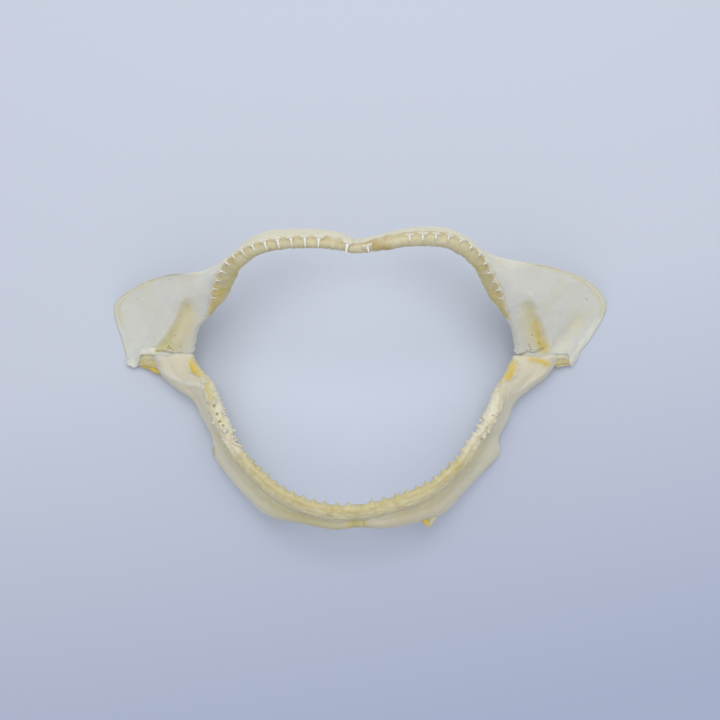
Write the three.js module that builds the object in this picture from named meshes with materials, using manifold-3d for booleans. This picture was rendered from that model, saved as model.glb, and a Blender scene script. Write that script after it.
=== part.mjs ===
// The dried jaws of a young requiem shark, spread wide open and lying on their back with the
// teeth up. Millimetres. +X runs from the shark's right to its left, +Y from the lower jaw to
// the upper jaw, and +Z up from the surface that the jaws rest on.
//
// Each jaw is two cartilages that meet in a ligament at the front. A cartilage is a curved plate,
// lofted between two guide lines: its tooth edge and its margin. The gum is a skin of dried tissue
// folded over the tooth edge, and it carries one row of teeth. The jaws rest on four small level
// feet: the margins of the two upper wings and the keels of the two lower cartilages.
import * as THREE from 'three';
import { mergeVertices } from 'three/addons/utils/BufferGeometryUtils.js';
import Module from 'manifold-3d';

const wasm = await Module();
wasm.setup();

// ---- Driving dimensions ------------------------------------------------------------------------

const GAP = 0.3; // clearance between neighbouring pieces
const CENTRE = new THREE.Vector3(0.04, 0.25, 0); // middle of the footprint, moved to the origin

// Guide lines, from the front joint (first row) to the jaw joint (last row):
// [tooth edge x, y, z, margin x, y, z].
const UPPER_LEFT = [
  [-1.6, 37.4, 43.3, -1.6, 39.8, 38.3], // front joint
  [-6.2, 38.8, 44.0, -6.4, 41.7, 38.0],
  [-14.2, 39.3, 44.3, -14.8, 42.7, 37.1], // crown of the front bar
  [-22.7, 38.8, 43.0, -24.4, 42.4, 35.6],
  [-29.0, 37.4, 40.8, -31.0, 40.2, 33.0], // front corner
  [-34.8, 34.5, 36.9, -37.0, 35.7, 29.0],
  [-38.6, 31.2, 33.0, -45.5, 31.9, 24.0], // root of the wing
  [-41.0, 27.6, 28.8, -57.5, 31.4, 14.5],
  [-42.5, 24.0, 25.0, -68.6, 28.0, 6.5],
  [-44.5, 20.2, 20.5, -75.2, 22.8, 1.0], // widest point of the wing
  [-49.1, 15.2, 15.0, -73.4, 15.4, -0.4], // wing rests on the surface
  [-51.1, 9.2, 9.6, -68.1, 4.8, 1.5], // jaw joint
];

const UPPER_RIGHT = [
  [0.0, 37.4, 43.3, 0.0, 39.8, 38.3],
  [4.8, 38.7, 44.0, 4.9, 40.8, 38.0],
  [12.9, 40.2, 44.3, 13.1, 42.9, 37.1],
  [21.1, 40.4, 43.0, 22.5, 43.2, 35.6],
  [27.4, 38.8, 40.8, 29.2, 41.0, 33.0],
  [33.2, 35.0, 36.9, 35.4, 37.0, 29.0],
  [36.6, 30.8, 33.0, 44.5, 35.0, 24.0],
  [39.4, 26.6, 28.8, 58.0, 33.6, 14.5],
  [41.3, 22.8, 25.0, 70.1, 29.3, 6.5],
  [43.4, 19.3, 20.5, 75.5, 22.8, 1.0],
  [46.6, 14.6, 15.0, 72.0, 15.0, -0.4],
  [48.0, 8.8, 9.6, 64.4, 4.8, 1.5],
];

const LOWER_LEFT = [
  [-1.4, -37.1, 20.5, -1.6, -42.1, 14.0], // front joint
  [-6.5, -37.3, 20.5, -7.0, -42.9, 13.6],
  [-15.2, -35.8, 20.2, -16.8, -41.6, 12.0],
  [-24.2, -31.6, 19.7, -27.7, -39.4, 9.0],
  [-31.2, -25.8, 18.9, -35.5, -33.0, 5.0],
  [-35.2, -21.8, 18.0, -41.3, -27.0, 2.0],
  [-37.9, -18.1, 17.2, -45.0, -21.9, -0.4], // keel rests on the surface
  [-40.6, -13.7, 16.4, -44.7, -16.8, 0.3],
  [-42.9, -8.7, 15.5, -47.5, -10.9, 1.2],
  [-44.9, -3.8, 14.4, -50.2, -5.7, 2.2],
  [-46.7, 0.8, 12.9, -56.3, -1.5, 2.8],
  [-49.7, 4.2, 11.0, -60.4, 2.8, 3.6],
  [-52.0, 9.3, 9.0, -63.4, 10.2, 5.0], // into the jaw joint, where it is cut to fit
];

const LOWER_RIGHT = [
  [1.7, -36.8, 20.5, 1.6, -42.2, 14.0],
  [7.2, -35.6, 20.5, 7.0, -42.6, 13.6],
  [14.4, -33.4, 20.2, 15.6, -41.5, 12.0],
  [21.3, -30.3, 19.7, 24.4, -39.2, 9.0],
  [27.1, -25.8, 18.9, 32.2, -32.1, 5.0],
  [30.7, -22.4, 18.0, 37.9, -26.8, 2.0],
  [33.2, -18.4, 17.2, 42.9, -21.6, -0.4],
  [36.1, -14.8, 16.4, 42.4, -16.8, 0.3],
  [39.1, -10.5, 15.5, 44.7, -11.6, 1.2],
  [41.5, -5.6, 14.4, 46.7, -6.0, 2.2],
  [42.9, -0.8, 12.9, 52.1, -1.6, 2.8],
  [45.2, 3.0, 11.0, 56.8, 2.3, 3.6],
  [48.0, 8.8, 9.0, 60.8, 9.9, 5.0],
];

// Profiles along a cartilage: [place from 0 at the front joint to 1 at the jaw joint, value].
const UPPER = {
  edgeThick: [[0, 1.3], [0.3, 1.5], [0.48, 2.6], [0.64, 4.2], [0.72, 4.2], [0.8, 3.2], [1, 3.6]],
  bodyThick: [[0, 1.8], [0.3, 2.0], [0.5, 3.6], [0.66, 4.4], [0.8, 4.2], [1, 4.8]],
  plateThick: [[0, 1.8], [0.5, 1.8], [1, 1.7]], // wing, or upper half of the front bar
  marginThick: [[0, 1.2], [0.5, 1.0], [1, 0.9]],
  noseReach: [[0, 0.9], [0.4, 1.1], [0.7, 1.3], [1, 1.6]], // how far the tooth edge is rounded
  bodyBulge: [[0, 0.3], [0.5, 0.4], [0.75, 1.2], [0.92, 1.6], [1, 1.4]],
  bow: [[0, 0], [0.86, 0], [0.93, 0.8], [1, 3.8]], // end face bowed over the jaw joint
  groovePlace: [[0, 0.5], [0.6, 0.24], [0.82, 0.25], [0.91, 0.33], [1, 0.58]],
  grooveDepth: [[0, 0], [0.72, 0], [0.8, 0.6], [0.92, 1.2], [1, 1.0]],
  dish: [[0, 0], [0.5, 0], [0.75, 1.6], [1, 1.0]], // hollow of the face towards the margin
};
const LOWER = {
  edgeThick: [[0, 1.8], [0.5, 2.0], [0.85, 2.2], [1, 3.0]],
  bodyThick: [[0, 3.0], [0.5, 3.2], [0.85, 3.4], [1, 4.8]],
  plateThick: [[0, 2.8], [0.5, 2.4], [0.85, 2.4], [1, 3.8]],
  marginThick: [[0, 1.6], [0.55, 1.4], [0.85, 1.6], [1, 2.4]],
  noseReach: [[0, 0.9], [1, 1.2]],
  bodyBulge: [[0, 0.7], [0.5, 0.7], [0.8, 0.9], [1, 1.2]],
  bow: [[0, 0], [1, 0]],
  groovePlace: [[0, 0.5], [1, 0.5]],
  grooveDepth: [[0, 0], [1, 0]],
  dish: [[0, -0.6], [0.5, -0.5], [1, -0.8]],
};
const BOW_SKEW = 2.5; // keeps the bow of the end face towards the margin
const GROOVE_WIDTH = 0.09; // of the chord from tooth edge to margin
const NOSE = 1.0; // stretch of outline that runs round the tooth edge

// Skins of tissue over the tooth edge: how far they reach down each face and how thick they are.
// They narrow over the last stretch of the way, and lip is how far they reach over the front joint.
const UPPER_GUM = {
  labial: 0.3, lingual: 3.0, thick: 0.8, rim: 0.5, from: 0, to: 0.83, narrows: 0.2, lip: 0.45,
  clear: 0.42, // more than GAP, because the tooth edge twists where the wing begins
};
const LOWER_GUM = {
  labial: 3.2, lingual: 4.2, thick: 0.8, rim: 0.5, from: 0, to: 0.84, narrows: 0.2, lip: 1.4,
};
const JOINT_TISSUE = {
  labial: 0.2, lingual: 2.2, thick: 1.6, rim: 0.6, from: 0.85, to: 0.99, narrows: 0, lip: 0,
};
// Fold of tissue between the end of the wing and the knob of the lower jaw.
const FOLD = { from: [-67.0, 6.6, 2.4], to: [-60.4, 4.0, 2.4], broad: 3.6, thick: 1.8, rings: 5 };

// Teeth: narrow upright cusps on broad roots, smaller and closer together towards the jaw joint.
// Their seat is where the root stands on the tooth edge, in outline distance.
const UPPER_TEETH = {
  count: 15, first: 2.0, pitch: 3.9, lastPitch: 3.3, height: 4.0, root: 2.9, lean: 0.35, seat: 0.8,
};
const LOWER_TEETH = {
  count: 15, first: 2.0, pitch: 3.7, lastPitch: 2.7, height: 3.3, root: 2.4, lean: 0.3, seat: -0.1,
};
const TOOTH_SHRINK = 0.6; // last tooth over first
// [height, width along the jaw, thickness], over the tooth's height and root width.
const TOOTH_RINGS = [
  [-0.24, 0.96, 0.3],
  [0.14, 0.9, 0.26],
  [0.32, 0.38, 0.24],
  [1.0, 0.1, 0.09],
];

const UPPER_RINGS = 25;
const LOWER_RINGS = 23;
const UPPER_FACE = [0, 0.1, 0.2, 0.31, 0.48, 0.7, 0.9, 1];
const LOWER_FACE = [0, 0.15, 0.35, 0.58, 0.82, 1];
const BELOW = 5; // depth of the block that levels what rests on the surface

const BONE = new THREE.MeshStandardMaterial({ color: '#d9d6c8', roughness: 0.62, metalness: 0 });
const GUM = new THREE.MeshStandardMaterial({ color: '#b8ab72', roughness: 0.55, metalness: 0 });
const TISSUE = new THREE.MeshStandardMaterial({ color: '#cbb04c', roughness: 0.5, metalness: 0 });

// ---- Shape functions ---------------------------------------------------------------------------

const { lerp, smoothstep, clamp } = THREE.MathUtils;

// Value of a profile at a place along the jaw, eased between its keys.
function profile(keys, place) {
  const next = keys.findIndex((key) => key[0] >= place);
  if (next <= 0) return next === 0 ? keys[0][1] : keys.at(-1)[1];
  const [from, low] = keys[next - 1];
  const [to, high] = keys[next];
  return lerp(low, high, smoothstep(place, from, to));
}

const hump = (distance, width) => Math.exp(-((distance / width) ** 2));

const places = (count, from = 0, to = 1) => Array.from(
  { length: count }, (_, step) => lerp(from, to, step / (count - 1)));

function guides(rows) {
  const line = (column) => new THREE.CatmullRomCurve3(
    rows.map((row) => new THREE.Vector3(...row.slice(column, column + 3))), false, 'centripetal');
  return { edge: line(0), margin: line(3) };
}

// Frame of one cross-section: its two guide points, the way across the face, and the face's normal.
function section(half, place) {
  const { edge, margin } = half.guides;
  const at = (where) => edge.getPoint(where).lerp(margin.getPoint(where), 0.15);
  const step = 0.045;
  const along = at(Math.min(1, place + step)).sub(at(Math.max(0, place - step))).normalize();
  const start = edge.getPoint(place);
  const chord = margin.getPoint(place).sub(start);
  const length = chord.length();
  const across = chord.normalize();
  const normal = new THREE.Vector3().crossVectors(across, along).normalize();
  if (normal.z < 0) normal.negate();
  const onward = new THREE.Vector3().crossVectors(normal, across);
  if (onward.dot(along) < 0) onward.negate();
  return { start, across, normal, onward, length, place };
}

// Height of the labial (outer) face over the straight chord, at a share of the way to the margin.
function faceHeight(shape, place, share) {
  const groove = profile(shape.groovePlace, place);
  const body = Math.sin(Math.PI * Math.min(1, share / (2 * groove)));
  const dish = Math.sin(Math.PI * clamp((share - groove) / (1 - groove), 0, 1));
  return profile(shape.bodyBulge, place) * body
    - profile(shape.grooveDepth, place) * hump(share - groove, GROOVE_WIDTH)
    - profile(shape.dish, place) * dish;
}

function plateThickness(shape, place, share) {
  const groove = profile(shape.groovePlace, place);
  return profile([
    [0, profile(shape.edgeThick, place)],
    [groove * 0.5, profile(shape.bodyThick, place)],
    [Math.min(0.8, groove * 1.5), profile(shape.plateThick, place)],
    [1, profile(shape.marginThick, place)],
  ], share);
}

// Point of a section's outline. The distance is 0 at the tip of the tooth edge, runs up to NOSE
// round it, and then counts along the face: labial if positive, lingual if negative. The lift
// moves the point outwards from the surface.
function outline(half, cut, distance, lift = 0) {
  const { shape } = half;
  const { start, across, normal, onward, length, place } = cut;
  if (Math.abs(distance) <= NOSE) {
    const radius = plateThickness(shape, place, 0) / 2;
    const reach = profile(shape.noseReach, place);
    const angle = (distance / NOSE) * Math.PI / 2;
    return start.clone()
      .addScaledVector(across, -Math.cos(angle) * (reach + lift))
      .addScaledVector(normal, Math.sin(angle) * (radius + lift) - radius);
  }
  const share = Math.min(1, (Math.abs(distance) - NOSE) / length);
  const height = faceHeight(shape, place, share);
  const depth = plateThickness(shape, place, share);
  return start.clone()
    .addScaledVector(across, share * length + lift * share ** 8)
    .addScaledVector(onward, -profile(shape.bow, place) * Math.sin(Math.PI * share ** BOW_SKEW))
    .addScaledVector(normal, distance > 0 ? height + lift : height - depth - lift);
}

// Manifold body from points and triangles, turned so that its faces look outwards.
function solid(points, index) {
  const corner = (at) => new THREE.Vector3().fromArray(points, index[at] * 3);
  let volume = 0;
  for (let at = 0; at < index.length; at += 3) {
    volume += corner(at).dot(corner(at + 1).cross(corner(at + 2)));
  }
  let geometry = new THREE.BufferGeometry();
  geometry.setAttribute('position', new THREE.Float32BufferAttribute(points, 3));
  geometry.setIndex(volume > 0 ? index : index.toReversed());
  geometry = mergeVertices(geometry, 1e-4);
  return new wasm.Manifold(new wasm.Mesh({
    numProp: 3,
    vertProperties: geometry.attributes.position.array,
    triVerts: Uint32Array.from(geometry.index.array),
  }));
}

// Closed body through rings of equally many points. Each ring folds on itself: its first point
// faces its last, so its ends are closed by quads between the two sides.
function loft(rings) {
  const count = rings[0].length;
  const index = [];
  const quad = (a, b, c, d) => index.push(a, b, c, a, c, d);
  for (let ring = 0; ring + 1 < rings.length; ring += 1) {
    const base = ring * count;
    for (let step = 0; step < count; step += 1) {
      const next = (step + 1) % count;
      quad(base + step, base + next, base + count + next, base + count + step);
    }
  }
  const last = (rings.length - 1) * count;
  for (let step = 0; step + 1 < count / 2; step += 1) {
    const facing = count - 1 - step;
    quad(step, facing, facing - 1, step + 1);
    quad(last + step, last + step + 1, last + facing - 1, last + facing);
  }
  return solid(rings.flat().flatMap((point) => point.toArray()), index);
}

// What is left of a body once room is cut for its neighbours, without loose slivers.
function fitted(body, ...neighbours) {
  return neighbours.reduce((rest, other) => rest.subtract(other), body).decompose()
    .reduce((largest, chip) => (chip.volume() > largest.volume() ? chip : largest));
}

function geometryOf(body) {
  const mesh = body.getMesh();
  const geometry = new THREE.BufferGeometry();
  geometry.setAttribute('position', new THREE.BufferAttribute(mesh.vertProperties, 3));
  geometry.setIndex(new THREE.BufferAttribute(mesh.triVerts, 1));
  geometry.computeVertexNormals();
  return geometry;
}

// ---- Pieces ------------------------------------------------------------------------------------

// One cartilage, or with a lift the room that it takes with some clearance all round.
function cartilage(half, lift = 0) {
  const rings = places(half.rings).map((place) => {
    const cut = section(half, place);
    const face = half.face.map((share) => NOSE + share * cut.length);
    const steps = [...face.toReversed(), NOSE / 2, -NOSE / 2, ...face.map((step) => -step)];
    return steps.map((distance) => outline(half, cut, distance, lift));
  });
  rings.at(-1).forEach((point, step) => {
    point.addScaledVector(point.clone().sub(rings.at(-2)[step]).normalize(), lift);
  });
  return loft(rings);
}

// A skin of tissue folded over the tooth edge, thinning to its two rims.
function skin(half, { labial, lingual, thick, rim, from, to, narrows, lip, clear = GAP }) {
  const inside = places(half.rings).filter((place) => place > from + 0.01 && place < to - 0.01);
  const rings = [from, ...inside, to].map((place) => {
    const cut = section(half, place);
    const left = narrows ? lerp(0.3, 1, smoothstep(to - place, 0, narrows)) : 1;
    const low = -NOSE - Math.min(lingual * left, cut.length * 0.8);
    const high = NOSE + Math.min(labial * left, cut.length * 0.8);
    const steps = [low, (low - NOSE) / 2, -NOSE, -NOSE / 2, NOSE / 2, NOSE, high];
    const depth = (distance) => lerp(
      rim, thick, smoothstep(Math.min(distance - low, high - distance), -0.2, 1.6));
    const outer = steps.map((distance) => outline(half, cut, distance, clear + depth(distance)));
    const inner = steps.map((distance) => outline(half, cut, distance, clear));
    return [...outer, ...inner.toReversed()];
  });
  if (lip) {
    const { onward } = section(half, 0);
    rings.unshift(rings[0].map((point) => point.clone().addScaledVector(onward, -lip)));
  }
  return loft(rings);
}

// One tooth: a broad flat root that narrows to a slender cusp.
function tooth(half, place, size) {
  const { height, root, lean, seat } = half.teeth;
  const cut = section(half, place);
  const foot = outline(half, cut, seat, GAP + half.gum.thick * 0.75);
  const up = cut.across.clone().negate().addScaledVector(cut.normal, -lean).normalize();
  const out = new THREE.Vector3().crossVectors(up, cut.onward).normalize();
  return loft(TOOTH_RINGS.map(([rise, width, thick]) => {
    const centre = foot.clone().addScaledVector(up, rise * height * size);
    const side = cut.onward.clone().multiplyScalar(Math.max(0.25, width * root * size / 2));
    const face = out.clone().multiplyScalar(Math.max(0.2, thick * root * size / 2));
    return [face, side, face.clone().negate(), side.clone().negate()].map(
      (offset) => offset.add(centre));
  }));
}

// Places and sizes of the teeth, which stand closer together towards the jaw joint.
function toothRow(half) {
  const { count, first, pitch, lastPitch } = half.teeth;
  const { edge } = half.guides;
  return Array.from({ length: count }, (_, step) => {
    const travel = first + step * lerp(pitch, lastPitch, step / (2 * (count - 1)));
    return {
      place: edge.getUtoTmapping(travel / edge.getLength()),
      size: lerp(1, TOOTH_SHRINK, step / (count - 1)),
    };
  });
}

function gumWithTeeth(half) {
  return toothRow(half).reduce(
    (body, { place, size }) => body.add(tooth(half, place, size)), skin(half, half.gum));
}

// The ligament that fills the space between a jaw's two cartilages at the front.
function frontLigament(left, right) {
  const ring = (half) => {
    const cut = section(half, 0);
    const face = [1, 0.6, 0.25, 0].map((share) => NOSE + share * cut.length);
    const steps = [...face, NOSE / 2, -NOSE / 2, ...face.toReversed().map((step) => -step)];
    return steps.map((distance) => outline(half, cut, distance));
  };
  const facing = ring(right);
  const width = left.guides.edge.getPoint(0).distanceTo(right.guides.edge.getPoint(0));
  return loft([GAP / width, 1 - GAP / width].map(
    (share) => ring(left).map((point, step) => point.lerp(facing[step], share))));
}

// Fold of dried tissue, thickest in the middle, on one side of the jaws (-1 or 1).
function tissueFold(side) {
  const across = new THREE.Vector3(side * 0.4, 0.9, 0).normalize();
  const from = new THREE.Vector3(...FOLD.from);
  const to = new THREE.Vector3(...FOLD.to);
  for (const end of [from, to]) end.x *= -side;
  return loft(places(FOLD.rings).map((share) => {
    const centre = from.clone().lerp(to, share);
    const swell = lerp(0.45, 1, Math.sin(Math.PI * share));
    const flat = across.clone().multiplyScalar(FOLD.broad * swell / 2);
    const rise = new THREE.Vector3(0, 0, FOLD.thick * swell / 2);
    return [rise, flat, rise.clone().negate(), flat.clone().negate()].map(
      (offset) => offset.add(centre));
  }));
}

// Block under the resting surface. Cutting it off leaves small level feet.
function underSurface() {
  const block = new THREE.BoxGeometry(400, 400, BELOW).translate(0, 0, -BELOW / 2);
  return solid([...block.attributes.position.array], [...block.index.array]);
}

// ---- Assembly ----------------------------------------------------------------------------------

const upper = (rows) => ({
  guides: guides(rows), shape: UPPER, teeth: UPPER_TEETH, gum: UPPER_GUM, rings: UPPER_RINGS,
  face: UPPER_FACE,
});
const lower = (rows) => ({
  guides: guides(rows), shape: LOWER, teeth: LOWER_TEETH, gum: LOWER_GUM, rings: LOWER_RINGS,
  face: LOWER_FACE,
});
const sides = {
  left: { sign: -1, upper: upper(UPPER_LEFT), lower: lower(LOWER_LEFT) },
  right: { sign: 1, upper: upper(UPPER_RIGHT), lower: lower(LOWER_RIGHT) },
};

const floor = underSurface();
const pieces = [];
for (const [side, jaw] of Object.entries(sides)) {
  const socket = cartilage(jaw.upper, GAP);
  const knob = cartilage(jaw.lower, GAP);
  pieces.push([`upper_cartilage_${side}`, cartilage(jaw.upper).subtract(floor), BONE]);
  pieces.push([`lower_cartilage_${side}`, fitted(cartilage(jaw.lower), floor, socket), BONE]);
  pieces.push([`upper_teeth_${side}`, gumWithTeeth(jaw.upper), GUM]);
  pieces.push([`lower_teeth_${side}`, gumWithTeeth(jaw.lower), GUM]);
  pieces.push([`joint_tissue_${side}`, fitted(skin(jaw.lower, JOINT_TISSUE), socket), TISSUE]);
  pieces.push([`wing_tissue_${side}`, fitted(tissueFold(jaw.sign), socket, knob), TISSUE]);
}
pieces.push(['upper_front_ligament', frontLigament(sides.left.upper, sides.right.upper), TISSUE]);
pieces.push(['lower_front_ligament', frontLigament(sides.left.lower, sides.right.lower), TISSUE]);

const jaws = new THREE.Group();
jaws.position.copy(CENTRE).negate();
for (const [name, body, material] of pieces) {
  const mesh = new THREE.Mesh(geometryOf(body), material);
  mesh.name = name;
  jaws.add(mesh);
}

export default jaws;
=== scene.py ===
"""Dried jaws of a young requiem shark, spread open on their back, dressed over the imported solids.

The classes hold sizes in millimetres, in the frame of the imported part, and meshes are turned to
metres when they are made. Each cartilage is a curved plate lofted between its tooth edge and its
margin. Gums, teeth and dried tissue are laid over the same plates, so they sit where they grow.
"""

import logging
import math
from dataclasses import dataclass, field
from enum import Enum

import bpy
import numpy as np
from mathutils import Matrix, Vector, noise
from mathutils.bvhtree import BVHTree


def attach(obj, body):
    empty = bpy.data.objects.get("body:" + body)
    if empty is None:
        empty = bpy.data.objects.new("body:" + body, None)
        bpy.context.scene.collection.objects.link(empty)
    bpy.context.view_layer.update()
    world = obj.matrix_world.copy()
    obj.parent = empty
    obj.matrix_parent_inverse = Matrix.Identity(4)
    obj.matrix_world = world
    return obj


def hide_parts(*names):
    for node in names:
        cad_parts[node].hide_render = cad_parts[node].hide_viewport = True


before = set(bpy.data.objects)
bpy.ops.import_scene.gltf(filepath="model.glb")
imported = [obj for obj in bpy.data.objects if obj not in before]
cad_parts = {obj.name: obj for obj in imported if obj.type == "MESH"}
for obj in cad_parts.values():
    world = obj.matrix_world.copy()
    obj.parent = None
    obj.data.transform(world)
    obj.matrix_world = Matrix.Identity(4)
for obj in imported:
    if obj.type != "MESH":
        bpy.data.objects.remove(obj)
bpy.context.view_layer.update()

BODY = "root"
MM = 0.001
CENTRE = np.array((0.04, 0.25, 0.0))  # footprint's middle in the drawing of the guide lines
NOSE = 1.0  # stretch of outline that runs round the tooth edge
GROOVE_WIDTH = 0.09  # of the chord from tooth edge to margin
ROOT_SINK = 0.65  # how much deeper than its bar a tooth's root goes into the gum
SEAM = 1e-6  # keeps a face's first point off the end of the tooth edge
TUCK = 0.12  # depth of a skin's border under the surface that it lies on
LINING = 0.2  # depth of a skin's inner side under that surface
FLOOR_DROP = 0.00002  # metres from the resting surface down to the paper
RAY_START = 0.1  # metres above the resting surface, over every piece

Array = np.ndarray
Keys = tuple[tuple[float, float], ...]
Rows = tuple[tuple[float, float, float, float, float, float], ...]

# Bow of a wing's end face by share of the chord: full beside the lobe at the wing's tip.
BROAD_LOBE: Keys = ((0.15, 0), (0.68, 1), (0.9, 0), (1, 0.35))
NARROW_LOBE: Keys = ((0.15, 0), (0.8, 1), (1, 0))

log = logging.getLogger("shark_jaw")


# ---- Numbers and colours -----------------------------------------------------------------------


class Tone(Enum):
    """Colours of dried jaw, as sRGB hex; some also serve as painted shade and painted highlight."""

    WING = "#d9dbd7"
    PLATE = "#dbd6c2"
    STRIP = "#e0ddc9"
    RIM = "#d0caa0"
    BEIGE = "#d1cbab"
    BLUSH = "#d7d1bd"
    KHAKI = "#cbc396"
    OLIVE = "#cec687"
    BROWN = "#b0975a"
    STRAW = "#dcd5b0"
    AMBER = "#d9bf5a"
    UMBER = "#7d6a3c"
    PIT = "#a59a68"
    ENAMEL = "#f1eee4"
    ROOT = "#e9e4cf"
    # Painted shade on the tips of the upper cusps.
    TIP_SHADE = "#9b9893"

    @property
    def linear(self) -> Array:
        """The colour as linear RGB."""
        value = self.value.lstrip("#")
        srgb = np.array([int(value[at : at + 2], 16) / 255 for at in (0, 2, 4)])
        return np.where(srgb <= 0.04045, srgb / 12.92, ((srgb + 0.055) / 1.055) ** 2.4)


def smoothstep(value: Array | float, low: float, high: float) -> Array:
    """Eased rise from 0 at low to 1 at high."""
    share = np.clip((np.asarray(value, float) - low) / (high - low), 0, 1)
    return share * share * (3 - 2 * share)


def eased(keys: Keys, places: Array) -> Array:
    """Value of a profile at each place, eased between its keys."""
    table = np.array(keys)
    value = np.full(np.shape(places), table[0, 1])
    for (low, start), (high, end) in zip(table[:-1], table[1:]):
        value = np.where(places > low, start + (end - start) * smoothstep(places, low, high), value)
    return value


def hump(distance: Array, width: float) -> Array:
    """Bell of height 1 and the given half width."""
    return np.exp(-((distance / width) ** 2))


def mottle(points: Array, size: float, octaves: int = 3, seed: float = 0.0) -> Array:
    """Fractal noise of about -1 to 1 at points of any grid shape, with features of that size.

    Args:
        points: Positions in millimetres, with x, y, z on the last axis.
        size: Size of the largest features, in millimetres.
        octaves: How many finer layers are added.
        seed: Shifts the pattern.

    Returns:
        One value per point, in the grid's shape.
    """
    flat = points.reshape(-1, 3) / size + np.array((seed, 1.7 * seed, -seed))
    values = [noise.fractal(Vector(point), 0.7, 2.1, octaves) for point in flat]
    return np.array(values).reshape(points.shape[:-1])


def mix(colours: Array, tone: Tone, amount: Array | float) -> Array:
    """Colours with some of a tone mixed in.

    Args:
        colours: Linear RGB on the last axis.
        tone: The tone to add.
        amount: Share of the tone, one per colour or one for all.

    Returns:
        The mixed colours.
    """
    share = np.clip(np.asarray(amount, float), 0, 1)[..., None]
    return colours + (tone.linear - colours) * share


# ---- Meshes ------------------------------------------------------------------------------------


def grid_faces(rings: int, steps: int, wrap: bool = True) -> list[tuple[int, int, int, int]]:
    """Quads of a grid of rings, closed round each ring if wrap is set."""
    last = steps if wrap else steps - 1
    return [
        (
            ring * steps + step,
            ring * steps + (step + 1) % steps,
            (ring + 1) * steps + (step + 1) % steps,
            (ring + 1) * steps + step,
        )
        for ring in range(rings - 1)
        for step in range(last)
    ]


@dataclass
class Shell:
    """Points, faces and colours of one piece while it is being built, in millimetres."""

    points: list[Array] = field(default_factory=list)
    faces: list[tuple[int, ...]] = field(default_factory=list)
    colours: list[Array] = field(default_factory=list)
    count: int = 0

    def add(self, points: Array, faces: list[tuple[int, ...]], colours: Array) -> None:
        """Adds a patch.

        Args:
            points: Positions, N by 3.
            faces: Faces that count from the patch's first point.
            colours: Linear RGB, N by 3.
        """
        self.points.append(points)
        self.colours.append(colours)
        self.faces.extend(tuple(at + self.count for at in face) for face in faces)
        self.count += len(points)

    def add_tube(self, rings: Array, colours: Array) -> None:
        """Adds a closed tube of rings (rings by steps by 3, steps even), laced shut at its ends."""
        count, steps = rings.shape[:2]
        faces: list[tuple[int, ...]] = list(grid_faces(count, steps))
        base = (count - 1) * steps
        for step in range(steps // 2 - 1):
            lace = (step, step + 1, steps - 2 - step, steps - 1 - step)
            faces.append(lace)
            faces.append(tuple(base + at for at in reversed(lace)))
        self.add(rings.reshape(-1, 3), faces, colours.reshape(-1, 3))

    def build(self, name: str, material: bpy.types.Material, slot: str) -> bpy.types.Object:
        """Makes the Blender object, smooth and with faces outwards, and sets it on the body.

        Args:
            name: Name of the object.
            material: Finish of the whole piece.
            slot: Not used.

        Returns:
            The new object.
        """
        points = (np.concatenate(self.points) - CENTRE) * MM
        mesh = bpy.data.meshes.new(name)
        mesh.from_pydata(points.tolist(), [], self.faces)
        mesh.validate()
        mesh.polygons.foreach_set("use_smooth", [True] * len(mesh.polygons))
        tones = mesh.color_attributes.new("tone", "FLOAT_COLOR", "POINT")
        colours = np.concatenate(self.colours)
        full = np.concatenate([np.clip(colours, 0, 1), np.ones((len(colours), 1))], axis=1)
        tones.data.foreach_set("color", full.astype(np.float32).ravel())
        mesh.materials.append(material)
        mesh.update()
        piece = bpy.data.objects.new(name, mesh)
        bpy.context.scene.collection.objects.link(piece)
        bpy.context.view_layer.objects.active = piece
        piece.select_set(True)
        bpy.ops.object.mode_set(mode="EDIT")
        bpy.ops.mesh.select_all(action="SELECT")
        bpy.ops.mesh.normals_make_consistent(inside=False)
        bpy.ops.object.mode_set(mode="OBJECT")
        piece.select_set(False)
        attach(piece, BODY)
        log.info("%s: %d faces", name, len(mesh.polygons))
        return piece


def grid_normals(grid: Array) -> Array:
    """Unit normals of a wrapped grid of rings, by differences between neighbours."""
    along = np.gradient(grid, axis=0)
    around = np.roll(grid, -1, axis=1) - np.roll(grid, 1, axis=1)
    normals = np.cross(around, along)
    length = np.linalg.norm(normals, axis=-1, keepdims=True)
    return normals / np.maximum(length, 1e-9)


# ---- Strokes: grooves, stains, painted highlights and crests drawn on a surface from above ------


@dataclass(frozen=True)
class Stroke:
    """A line on a surface, met from above, that sinks or raises it and tints it: with a stain, and
    on some strokes with a painted highlight.
    """

    path: tuple[tuple[float, float], ...]
    width: float
    tone: Tone | None = None
    strength: float = 0.0
    rise: float = 0.0

    def reach(self, points: Array) -> Array:
        """How much each point (in the drawing's millimetres) lies on the stroke, from 0 to 1."""
        flat = points[..., :2]
        nearest = np.full(flat.shape[:-1], 1e9)
        for start, end in zip(self.path[:-1], self.path[1:]):
            origin, leg = np.array(start), np.array(end) - np.array(start)
            share = np.clip(((flat - origin) @ leg) / (leg @ leg), 0, 1)
            gap = np.linalg.norm(flat - origin - share[..., None] * leg, axis=-1)
            nearest = np.minimum(nearest, gap)
        return hump(nearest, self.width)


@dataclass(frozen=True)
class Band:
    """A band of colour along a plate, at some distance in from its margin or out from its tooth
    edge: a stain, and on the lower jaws' margins partly a painted highlight.
    """

    tone: Tone
    gap: float
    width: float
    strength: float
    start: float = 0.0
    end: float = 1.0
    from_edge: bool = False

    def reach(self, place: Array, inward: Array) -> Array:
        """How much of the band's colour each point takes.

        Args:
            place: Place along the plate, one per ring.
            inward: Distance in from the margin, rings by steps.

        Returns:
            Shares of the stain, rings by steps.
        """
        begun = smoothstep(place, self.start - 0.05, self.start + 0.03)
        ended = smoothstep(place, self.end - 0.03, self.end + 0.05)
        travel = inward.max(axis=1, keepdims=True) - inward if self.from_edge else inward
        return self.strength * hump(travel - self.gap, self.width) * (begun - ended)[:, None]


# ---- Plates ------------------------------------------------------------------------------------


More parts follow.
